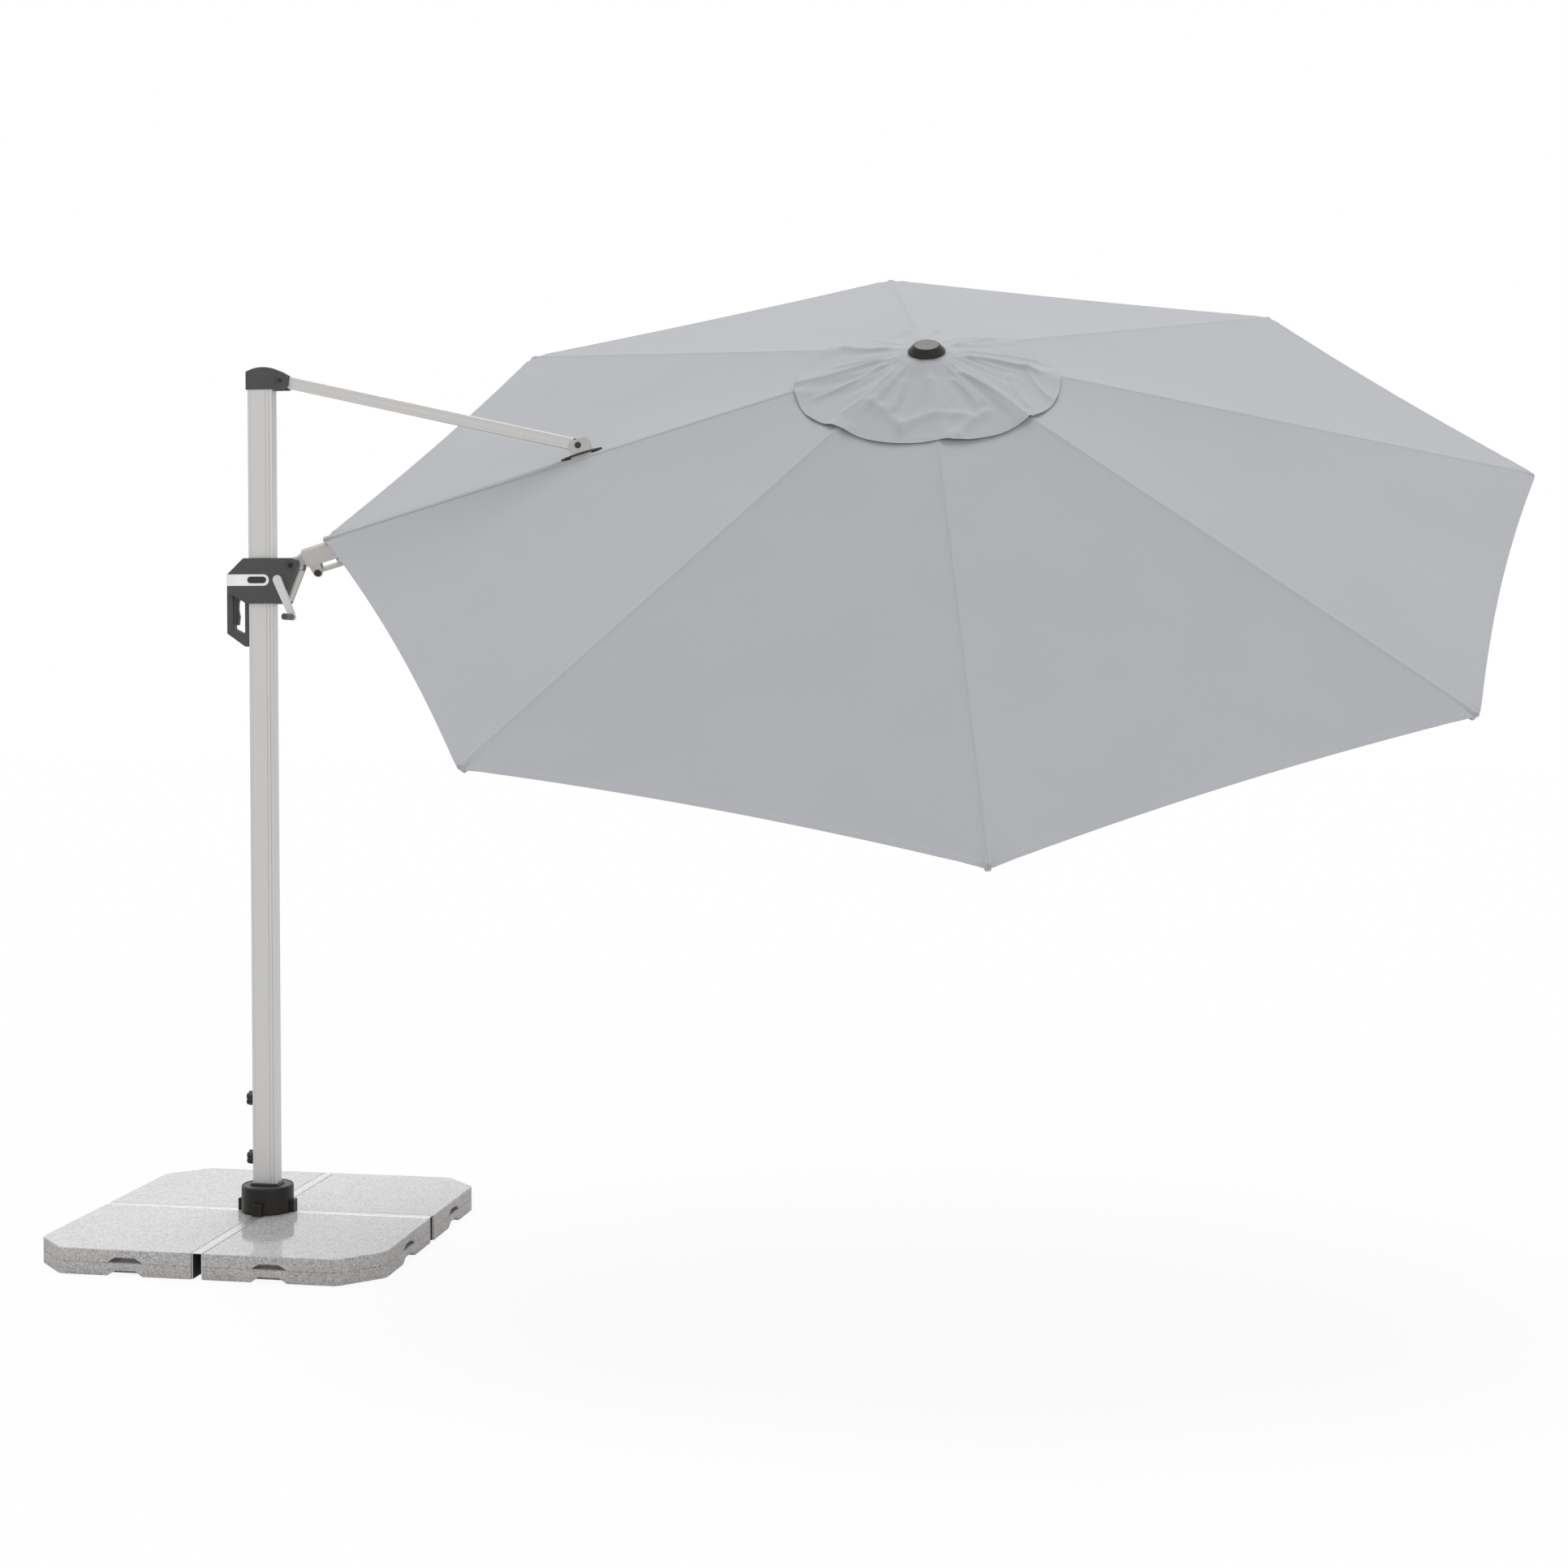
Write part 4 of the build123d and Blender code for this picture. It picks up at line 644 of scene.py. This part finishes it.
def half_panel(index, side):
    """Grid of points beside one rib, from the rib to the middle of the gore, in crown coordinates."""
    own, other = rib_vector(index), rib_vector(index + side)
    gore_up = np.cross(own, other)
    gore_up = gore_up * np.sign(gore_up[2]) / np.linalg.norm(gore_up)
    reach, across, to_rim = half_grid(index)
    share = across / (reach * HALF_CHORD)
    hollow = sag_at(reach) * (1.0 - (1.0 - share) ** 2)
    pucker = np.exp(-(CLOTH_LENGTH - reach) / PUCKER_ALONG) * np.exp(-across / PUCKER_ACROSS)
    pucker = pucker * np.sin(across * PUCKER_WAVES + index) * np.minimum(1.0, across / PUCKER_START)
    rise = HEM_RISE * below(to_rim, HEM_WIDTH, HEM_STEP) + PUCKER_HEIGHT * pucker - hollow
    share, lift = share[..., None], rib_lift(index, across, reach)[..., None]
    points = reach[..., None] * ((1.0 - share / 2.0) * own + share / 2.0 * other)
    points = points + gore_up * rise[..., None] + rib_normal(index) * lift
    from_seam = side * across if index else across - SLEEVE_HALF
    return points, np.stack([from_seam, reach], axis=2), np.stack([to_rim, across], axis=2)


def joined(left, right):
    """Two half grids side by side, sharing the column on the rib."""
    return np.concatenate([left[:, ::-1], right[:, 1:]], axis=1)


CORNER_SPAN = 0.060                  # reach of the cloth's corner along the rib
CORNER_HALF = 0.026                  # and to each side of it
CORNER_DROP = 0.0060                 # hood over the rib's end
CORNER_PULL = (-0.0045, 0.0020)      # corner drawn back, over the carrier and over a rib
RIB_CLEAR = 0.0095                   # half width over the rib that stays flat
RIB_CLEAR_STEP = 0.0015
HOOD_START = (0.0018, 0.0045)        # where the flat ends, over the carrier and over a rib
HOOD_STEP = 0.0006


def round_corner(points, index):
    """Draws the corner of the cloth down over the rib's end in a small hood."""
    own, up = rib_vector(index), rib_normal(index)
    kind = min(index, 1)
    along = points @ own
    across = np.linalg.norm(points - along[..., None] * own - (points @ up)[..., None] * up, axis=2)
    to_tip = CLOTH_LENGTH - along
    near_tip = np.clip(1.0 - to_tip / CORNER_SPAN, 0.0, 1.0) ** 2
    spread = np.exp(-(across / CORNER_HALF) ** 2) * near_tip
    flat = below(across, RIB_CLEAR, RIB_CLEAR_STEP) * below(HOOD_START[kind], to_tip, HOOD_STEP)
    drop = CORNER_DROP * spread * (1.0 - flat)
    return points - own * (CORNER_PULL[kind] * spread)[..., None] - up * drop[..., None]


def slit_mask(row_points):
    """False where a cell of the carrier's panel lies in the bracket's opening."""
    inverse = np.array(CARRIER.inverted())
    local = row_points @ inverse[:3, :3].T + inverse[:3, 3]
    centre = (local[:-1, :-1] + local[1:, :-1] + local[:-1, 1:] + local[1:, 1:]) / 4.0
    offset = np.abs(centre[..., :2] - SLIT_CENTRE) / SLIT_HALF
    return np.sum(offset ** SLIT_POWER, axis=2) > 1.0


def join_panel(obj, index):
    """Rides with a rib, and stands for that rib's panel of the CAD."""
    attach(obj, panel_body(index))
    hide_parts(f"canopy_panel_{index}")


def canopy_panel(index):
    """Cloth from the middle of one gore over its rib to the middle of the next."""
    halves = zip(half_panel(index, -1), half_panel(index, 1))
    points, cloth_uv, edge_uv = (joined(left, right) for left, right in halves)
    points = round_corner(points, index)
    normals = directions_to_row(upright(surface_normals(points), np.array((0.0, 0.0, 1.0))))
    points = to_row(points)
    keep = None if index else slit_mask(points)
    obj, sheet_area = cloth_shell(f"canopy_cloth_{index}", points, normals, cloth_uv, edge_uv,
                                  CLOTH_THICKNESS, keep)
    join_panel(obj, index)
    return obj, sheet_area


# ---------------------------------------- vent cap
VENT_RINGS = 20
VENT_SPOKES = 12 * RIB_COUNT
VENT_INNER = 0.042                   # hole under the finial
VENT_THICKNESS = 0.0009
GORE_FALL = 0.5                      # how far the cap follows the gores between the ribs, as a share
VENT_SEAT = 0.0030                   # above the canopy's cloth
VENT_LIFT = 0.002                    # further up, at the edge between two ribs
VENT_LIFT_POWER = 2.2
VENT_BOW = 0.006                     # rise halfway out
VENT_BOW_ON_RIB = 0.4                # share of it over a rib
VENT_RIPPLE = 0.0028
RIPPLE_COUNT = 15.0
RIPPLE_WANDER = (2.5, 3.0, 4.0)      # how far, how often round and how often outwards
HELD_RINGS = 3                       # inner rings under the finial
SLACK_START = 0.12                   # share of the radius where slack begins
SLACK_SPAN = 0.45                    # and the share over which it grows
SUPPORT_RADII = (0.03, 0.16, 0.30, 0.46)
DRAPE_FRAMES = 46
VENT_CLOTH = {
    "quality": 7,
    "mass": 0.25,
    "tension_stiffness": 22.0,
    "compression_stiffness": 22.0,
    "shear_stiffness": 6.0,
    "bending_stiffness": 2.2,
    "air_damping": 3.0,
    "shrink_min": 0.0,
    "shrink_max": -0.030,            # below zero: the cloth is larger than its shape
}
VENT_DOUBLINGS = 2
VENT_UV_ASIDE = 0.5                  # clear of the seams' lines and stitches

# Lasting folds of the vent cap: from and to, each as (place among the ribs, share of the radius),
# then half width and height in metres.
VENT_FOLDS = (
    ((7.72, 0.24), (7.90, 1.02), 0.013, 0.0085),
    ((7.45, 0.22), (7.55, 0.80), 0.012, 0.0060),
    ((0.15, 0.26), (0.30, 0.95), 0.011, 0.0050),
    ((0.60, 0.24), (0.86, 0.93), 0.013, 0.0065),
    ((0.90, 0.66), (1.70, 0.93), 0.020, 0.0060),
    ((1.25, 0.34), (1.42, 0.72), 0.018, 0.0035),
    ((1.50, 0.88), (2.55, 0.80), 0.022, 0.0065),
    ((2.15, 1.00), (2.78, 0.76), 0.016, 0.0055),
    ((1.95, 0.30), (2.10, 0.70), 0.020, 0.0035),
    ((2.80, 0.28), (2.97, 1.00), 0.012, 0.0075),
    ((2.55, 0.34), (2.62, 0.72), 0.012, 0.0040),
    ((3.10, 0.95), (3.80, 0.62), 0.013, 0.0060),
    ((3.45, 1.00), (4.10, 0.74), 0.012, 0.0060),
    ((3.75, 0.22), (3.95, 0.90), 0.012, 0.0070),
    ((4.40, 0.24), (4.35, 0.98), 0.013, 0.0075),
    ((4.90, 0.26), (5.05, 0.92), 0.013, 0.0070),
    ((5.45, 0.30), (5.30, 0.98), 0.014, 0.0065),
    ((5.95, 0.34), (5.80, 1.00), 0.014, 0.0070),
    ((6.55, 0.40), (6.45, 0.98), 0.014, 0.0065),
    ((7.05, 0.30), (6.95, 0.96), 0.013, 0.0065),
)
FOLD_ENDS = 0.16                     # share of its length over which a fold dies out
FOLD_TO_EDGE = 0.99                  # a fold that ends beyond this share runs out over the edge
FOLD_BEND = 0.06                     # bow of a fold in plan, over its length
FOLD_POWER = 1.5
EDGE_WAVES = 13.0
EDGE_WAVE = 0.0030
EDGE_WANDER = (2.2, 3.0, 1.0)        # how far the waves wander, how often round, and their phase
EDGE_POWER = 6


def between_ribs(angle):
    """0 on a rib and 1 in the middle of a gore."""
    return 0.5 - 0.5 * np.cos(RIB_COUNT * (angle - math.pi))


def vent_height(radius, angle):
    """Height of the vent cap above the rib cone, before it is draped."""
    share = (radius - VENT_INNER) / (VENT_RADIUS - VENT_INNER)
    between = between_ribs(angle)
    bow = VENT_BOW * np.sin(math.pi * share) * (VENT_BOW_ON_RIB + (1.0 - VENT_BOW_ON_RIB) * between)
    edge = VENT_LIFT * share ** VENT_LIFT_POWER * between
    far, around, outwards = RIPPLE_WANDER
    ripple = np.sin(RIPPLE_COUNT * angle + far * np.sin(around * angle + outwards * share))
    return VENT_SEAT - sag_at(radius) * between + bow + edge + VENT_RIPPLE * share * ripple


def vent_grid():
    """Rings of points of the vent cap before it is draped, in crown coordinates."""
    radius = np.linspace(VENT_INNER, VENT_RADIUS, VENT_RINGS)[:, None]
    angle = 2.0 * math.pi * np.arange(VENT_SPOKES)[None, :] / VENT_SPOKES
    fall = GORE_FALL * radius * (1.0 / math.cos(math.pi / RIB_COUNT) - 1.0) * between_ribs(angle)
    z = vent_height(radius, angle) - (radius + fall) / math.tan(RIB_ANGLE)
    return np.stack([radius * np.cos(angle), radius * np.sin(angle), z], axis=2)


def vent_support():
    """The canopy's cone under the vent cap, for the drape only."""
    steps = 2 * RIB_COUNT
    verts = []
    for radius in SUPPORT_RADII:
        for k in range(steps):
            angle = rib_azimuth(k / 2.0)
            in_gore = k % 2
            reach = radius * math.cos(math.pi / RIB_COUNT) if in_gore else radius
            z = -radius / math.tan(RIB_ANGLE) - sag_at(radius) * in_gore
            verts.append(CROWN @ Vector((reach * math.cos(angle), reach * math.sin(angle), z)))
    return mesh_piece("vent_support", verts, ring_faces(len(SUPPORT_RADII), steps), palette["canopy_cloth"])


def held_points():
    """Points of the vent cap that stay: under the finial, and where its edge is sewn to the ribs."""
    held = list(range(HELD_RINGS * VENT_SPOKES))
    for rib in range(RIB_COUNT):
        for offset in (-1, 0, 1):
            spoke = (rib * VENT_SPOKES // RIB_COUNT + offset) % VENT_SPOKES
            held.append((VENT_RINGS - 1) * VENT_SPOKES + spoke)
            held.append((VENT_RINGS - 2) * VENT_SPOKES + spoke)
    return held


def drape(obj, support):
    """Lets the vent cap's cloth settle with a little slack, and returns its points."""
    group = obj.vertex_groups.new(name="held")
    group.add(held_points(), 1.0, "REPLACE")
    slack = obj.vertex_groups.new(name="slack")
    for vertex in range(len(obj.data.vertices)):
        share = vertex // VENT_SPOKES / (VENT_RINGS - 1)
        slack.add([vertex], min(1.0, max(0.0, (share - SLACK_START) / SLACK_SPAN)), "REPLACE")
    support.modifiers.new("Collision", "COLLISION")
    support.collision.thickness_outer = 0.001
    support.collision.cloth_friction = 12.0
    modifier = obj.modifiers.new("Cloth", "CLOTH")
    for key, value in VENT_CLOTH.items():
        setattr(modifier.settings, key, value)
    modifier.settings.vertex_group_mass = group.name
    modifier.settings.vertex_group_shrink = slack.name
    modifier.collision_settings.use_collision = True
    modifier.collision_settings.distance_min = 0.0015
    modifier.collision_settings.use_self_collision = False
    modifier.point_cache.frame_start = 1
    modifier.point_cache.frame_end = DRAPE_FRAMES
    for step in range(1, DRAPE_FRAMES + 1):
        bpy.context.scene.frame_set(step)
    depsgraph = bpy.context.evaluated_depsgraph_get()
    settled = bpy.data.meshes.new_from_object(obj.evaluated_get(depsgraph))
    coords = np.array([v.co for v in settled.vertices])
    obj.modifiers.remove(modifier)
    bpy.context.scene.frame_set(1)
    return coords


def settled_grid():
    """The vent cap's grid in the row frame, draped."""
    points = to_row(vent_grid()).reshape(-1, 3)
    faces = ring_faces(VENT_RINGS, VENT_SPOKES)
    whole = mesh_piece("vent_whole", points, faces, palette["canopy_cloth"])
    support = vent_support()
    points = drape(whole, support)
    for helper in (whole, support):
        bpy.data.objects.remove(helper, do_unlink=True)
    return points.reshape(VENT_RINGS, VENT_SPOKES, 3)


def halfway(a, b, c, d):
    """Smooth interpolation between b and c, with their neighbours a and d."""
    return (9.0 * (b + c) - a - d) / 16.0


def refine(grid):
    """Doubles a grid that closes round its spokes, with smooth interpolation."""
    rings, spokes = grid.shape[:2]
    wide = np.empty((rings, spokes * 2, 3))
    wide[:, 0::2] = grid
    wide[:, 1::2] = halfway(*(np.roll(grid, shift, axis=1) for shift in (1, 0, -1, -2)))
    padded = np.concatenate([2 * wide[:1] - wide[1:2], wide, 2 * wide[-1:] - wide[-2:-1]], axis=0)
    tall = np.empty((rings * 2 - 1, spokes * 2, 3))
    tall[0::2] = wide
    tall[1::2] = halfway(padded[:-3], padded[1:-2], padded[2:-1], padded[3:])
    return tall


def plan_place(rib_place, share):
    """Point of the vent cap in plan, in crown coordinates."""
    angle = rib_azimuth(rib_place)
    return VENT_RADIUS * share * np.array([math.cos(angle), math.sin(angle)])


def fold_height(plan):
    """Height of the lasting folds and the wavy edge over an array of places in plan."""
    total = np.zeros(plan.shape[:-1])
    for (from_rib, from_share), (to_rib, to_share), half_width, height in VENT_FOLDS:
        start, end = plan_place(from_rib, from_share), plan_place(to_rib, to_share)
        length = float(np.linalg.norm(end - start))
        heading = (end - start) / length
        along = ((plan - start) @ heading) / length
        bend = FOLD_BEND * length * np.sin(math.pi * np.clip(along, 0.0, 1.0))
        across = (plan - start) @ np.array([-heading[1], heading[0]]) - bend
        fall = 1.0 if to_share > FOLD_TO_EDGE else eased((1.0 - along) / FOLD_ENDS)
        ridge = (1.0 + (across / half_width) ** 2) ** -FOLD_POWER
        total = total + height * eased(along / FOLD_ENDS) * fall * ridge
    radius = np.linalg.norm(plan, axis=-1)
    turn = np.arctan2(plan[..., 1], plan[..., 0])
    far, around, phase = EDGE_WANDER
    wave = 0.5 + 0.5 * np.sin(EDGE_WAVES * turn + far * np.sin(around * turn + phase))
    return total + EDGE_WAVE * wave * (radius / VENT_RADIUS) ** EDGE_POWER


def vent_sector(index, grid, normals):
    """The vent cap's piece over one rib, with its share of the whole grid."""
    rings, spokes = grid.shape[:2]
    half = spokes // RIB_COUNT // 2
    middle = round(rib_azimuth(index) / (2.0 * math.pi) * spokes)
    columns = [(middle + k) % spokes for k in range(-half, half + 1)]
    radius = np.linspace(VENT_INNER, VENT_RADIUS, rings)[:, None]
    turn = np.linspace(-math.pi / RIB_COUNT, math.pi / RIB_COUNT, len(columns))[None, :]
    cloth_uv = np.stack([radius * np.sin(turn) + VENT_UV_ASIDE, radius * np.cos(turn)], axis=2)
    to_edge = np.repeat(VENT_RADIUS - radius, len(columns), axis=1)
    edge_uv = np.stack([to_edge, radius * turn], axis=2)
    obj, sheet_area = cloth_shell(f"vent_cap_{index}", grid[:, columns], normals[:, columns],
                                  cloth_uv, edge_uv, VENT_THICKNESS)
    join_panel(obj, index)
    return obj, sheet_area


def vent_cap():
    grid = settled_grid()
    for _ in range(VENT_DOUBLINGS):
        grid = refine(grid)
    plan = (grid - CROWN_PLACE) @ CROWN_TURN[:, :2]
    up = CROWN_TURN[:, 2]
    grid = grid + up * fold_height(plan)[..., None]
    wrapped = np.concatenate([grid[:, -2:], grid, grid[:, :2]], axis=1)
    normals = upright(surface_normals(wrapped)[:, 2:-2], up)
    return [vent_sector(index, grid, normals) for index in range(RIB_COUNT)]


# ---------------------------------------- rib pockets
POCKET_START = 0.085                 # from the corner of the cloth
POCKET_END = 0.0078
POCKET_HALF = 0.0078
POCKET_DEPTH = 0.0238
POCKET_TOP = 0.0012                  # under the cloth
POCKET_ROUND = 0.004
POCKET_WALL = 0.0009
POCKET_FLARE = (0.10, 0.01)          # widening of its mouth, and how fast it dies out
POCKET_CLOSING = 0.004               # length over which it closes
POCKET_CLOSED = 0.5                  # share of its width that this takes away
POCKET_CAP = 0.45                    # half width of its last row, as a share
POCKET_ROUND_STEPS = 7
POCKET_EVEN_ROWS = 6
POCKET_LAST_ROWS = (0.006, 0.003, 0.001, 0.0)    # from its end; the first of them is the last even row
POCKET_UV = ((0.30, 0.35), (0.0, 0.09))    # clear of the seams' lines and stitches
POCKET_TO_RIM = 0.2


def pocket_profile():
    """U of a pocket across the rib, as (aside, up) points, with rounded lower corners."""
    profile = [(-POCKET_HALF, -POCKET_TOP)]
    for side, start in ((-1.0, math.pi), (1.0, 1.5 * math.pi)):
        for k in range(POCKET_ROUND_STEPS):
            a = start + 0.5 * math.pi * k / (POCKET_ROUND_STEPS - 1)
            aside = side * (POCKET_HALF - POCKET_ROUND) + POCKET_ROUND * math.cos(a)
            profile.append((aside, POCKET_ROUND - POCKET_DEPTH + POCKET_ROUND * math.sin(a)))
    return profile + [(POCKET_HALF, -POCKET_TOP)]


def pocket_rows(index):
    """Rows of points along a pocket, in crown coordinates."""
    own, up = rib_vector(index), rib_normal(index)
    side = np.cross(up, own)
    start, end = CLOTH_LENGTH - POCKET_START, CLOTH_LENGTH - POCKET_END
    closing = end - POCKET_CLOSING
    profile = pocket_profile()
    even_rows = np.linspace(start, end - POCKET_LAST_ROWS[0], POCKET_EVEN_ROWS)
    rows = []
    for reach in [*even_rows, *(end - gap for gap in POCKET_LAST_ROWS[1:])]:
        narrow = 1.0 - POCKET_CLOSED * (max(0.0, reach - closing) / POCKET_CLOSING) ** 2
        wide = 1.0 + POCKET_FLARE[0] * math.exp(-(reach - start) / POCKET_FLARE[1])
        height = 0.5 + 0.5 * narrow
        rows.append([own * reach + side * y * narrow * wide + up * z * height for y, z in profile])
    rows.append([own * end + side * y * POCKET_CAP - up * POCKET_TOP for y, z in profile])
    return np.array(rows)


def rib_pocket(index):
    """Sewn pocket round the end of a rib, under the cloth's corner."""
    points = pocket_rows(index)
    normals = surface_normals(points)
    if np.mean(np.sum(normals * (points - points.mean(axis=1, keepdims=True)), axis=2)) < 0:
        normals = -normals
    rows, columns = points.shape[:2]
    across, along = np.meshgrid(np.linspace(*POCKET_UV[0], columns), np.linspace(*POCKET_UV[1], rows))
    obj, _ = cloth_shell(f"rib_pocket_{index}", to_row(points), directions_to_row(normals),
                         np.stack([across, along], axis=2), np.full((rows, columns, 2), POCKET_TO_RIM),
                         POCKET_WALL)
    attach(obj, panel_body(index))
    return obj


# ---------------------------------------- badge
BADGE_X = (-0.0335, 0.0238)
BADGE_Z = (1.9172, 1.9364)
BADGE_STEPS = 20
BADGE_LEVELS = ((0.0, 0.0002), (0.0, -0.0007), (0.0006, -0.0011), (0.0016, -0.0011), (0.0022, -0.0008))


def badge():
    """Bare plate with round ends on the slider's stripe; a level is (inset, place behind the face)."""
    face_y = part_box("stripe")[0][1]
    middle_z = sum(BADGE_Z) / 2.0
    radius = (BADGE_Z[1] - BADGE_Z[0]) / 2.0
    outline = []
    for centre_x, start in ((BADGE_X[1] - radius, -0.5 * math.pi), (BADGE_X[0] + radius, 0.5 * math.pi)):
        for k in range(BADGE_STEPS + 1):
            outline.append((centre_x, start + math.pi * k / BADGE_STEPS))
    count = len(outline)
    verts = []
    for inset, behind in BADGE_LEVELS:
        r = radius - inset
        verts += [(x + r * math.cos(a), face_y + behind, middle_z + r * math.sin(a)) for x, a in outline]
    faces = [turned_over(face) for face in ring_faces(len(BADGE_LEVELS), count)]
    last = (len(BADGE_LEVELS) - 1) * count
    faces.append(tuple(range(last, last + count)))
    faces.append(tuple(reversed(range(count))))
    obj = mesh_piece("badge_plate", verts, faces, palette["black_plastic"], smooth=False)
    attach(obj, "slider")


# ---------------------------------------- build
dress_nodes()
panels = [canopy_panel(index) for index in range(RIB_COUNT)]
vents = vent_cap()
pockets = {index: rib_pocket(index) for index in range(1, RIB_COUNT)}
badge()


def fold_with_ribs(obj):
    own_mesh(obj)


for index, (obj, sheet_area) in enumerate(panels):
    fold_with_ribs(obj)
for index, (obj, sheet_area) in enumerate(vents):
    fold_with_ribs(obj)

# ---------------------------------------- floor, light, camera
FLOOR_HALF = 40.0
FLOOR_Z = -0.0005
FLOOR_GLOW = 0.92                    # share of plain white in the floor that the camera sees
WORLD_LEVEL = 0.54
WHITE = (1.0, 1.0, 1.0, 1.0)


def seen_directly(tree):
    """1 for rays from the camera, and for those in metal and glass."""
    path = tree.nodes.new("ShaderNodeLightPath").outputs
    bounced = math_node(tree, "MAXIMUM", path["Is Glossy Ray"], path["Is Transmission Ray"])
    return math_node(tree, "MAXIMUM", path["Is Camera Ray"], bounced)


def end_with_mix(tree, output_kind, share, first, second):
    """Joins a share of the second shader to the first, as the tree's surface."""
    mix = add(tree, "ShaderNodeMixShader", links={"Fac": share})
    tree.links.new(first, mix.inputs[1])
    tree.links.new(second, mix.inputs[2])
    add(tree, output_kind, links={"Surface": mix.outputs["Shader"]})


def floor_material():
    """White floor that keeps a soft shadow."""
    mat = bpy.data.materials.new("floor")
    mat.use_nodes = True
    tree = mat.node_tree
    tree.nodes.clear()
    diffuse = add(tree, "ShaderNodeBsdfDiffuse", Color=(0.82, 0.82, 0.82, 1.0))
    glow = add(tree, "ShaderNodeEmission", Color=WHITE, Strength=1.0)
    share = times(tree, seen_directly(tree), FLOOR_GLOW)
    end_with_mix(tree, "ShaderNodeOutputMaterial", share, diffuse.outputs["BSDF"], glow.outputs["Emission"])
    return mat


def studio_floor():
    corners = ((-1, -1), (1, -1), (1, 1), (-1, 1))
    verts = [(x * FLOOR_HALF, y * FLOOR_HALF, FLOOR_Z) for x, y in corners]
    mesh_piece("floor", verts, [(0, 1, 2, 3)], floor_material(), smooth=False)


def studio_world():
    """Soft light from all sides, in front of a white background."""
    world = bpy.data.worlds.new("studio")
    bpy.context.scene.world = world
    world.use_nodes = True
    tree = world.node_tree
    tree.nodes.clear()
    lit = add(tree, "ShaderNodeBackground", Color=WHITE, Strength=WORLD_LEVEL)
    seen = add(tree, "ShaderNodeBackground", Color=WHITE, Strength=1.0)
    end_with_mix(tree, "ShaderNodeOutputWorld", seen_directly(tree), lit.outputs["Background"],
                 seen.outputs["Background"])


def sun(name, direction, strength, width):
    """A sun that shines along a direction and is as wide as so many degrees."""
    data = bpy.data.lights.new(name, "SUN")
    data.energy = strength
    data.angle = math.radians(width)
    obj = bpy.data.objects.new(name, data)
    obj.rotation_euler = Vector(direction).to_track_quat("-Z", "Y").to_euler()
    bpy.context.scene.collection.objects.link(obj)


studio_floor()
studio_world()
sun("key", direction=(0.064, -0.269, -0.961), strength=2.05, width=35.0)
sun("fill", direction=(-0.64, 0.76, 0.06), strength=0.70, width=60.0)

CAMERA_PLACE = Vector((2.4877, -6.0646, 1.6212))
CAMERA_YAW = -0.155074               # radians from +Y, towards +X
CAMERA_PITCH = 0.044380              # downwards
CAMERA_ROLL = -0.003605


def photo_camera():
    """Camera at the photograph's place and angle."""
    ahead = Vector((math.sin(CAMERA_YAW), math.cos(CAMERA_YAW), 0.0))
    look = ahead * math.cos(CAMERA_PITCH) - Vector((0.0, 0.0, math.sin(CAMERA_PITCH)))
    level = Vector((math.cos(CAMERA_YAW), -math.sin(CAMERA_YAW), 0.0))
    down = look.cross(level)
    right = level * math.cos(CAMERA_ROLL) + down * math.sin(CAMERA_ROLL)
    down = down * math.cos(CAMERA_ROLL) - level * math.sin(CAMERA_ROLL)
    data = bpy.data.cameras.new("camera")
    data.lens = 50.0
    data.sensor_width = 36.0
    data.clip_end = 200.0
    obj = bpy.data.objects.new("camera", data)
    matrix = Matrix((right, -down, -look)).transposed().to_4x4()
    matrix.translation = CAMERA_PLACE
    obj.matrix_world = matrix
    bpy.context.scene.collection.objects.link(obj)
    bpy.context.scene.camera = obj


photo_camera()
bpy.context.scene.view_settings.view_transform = "Standard"
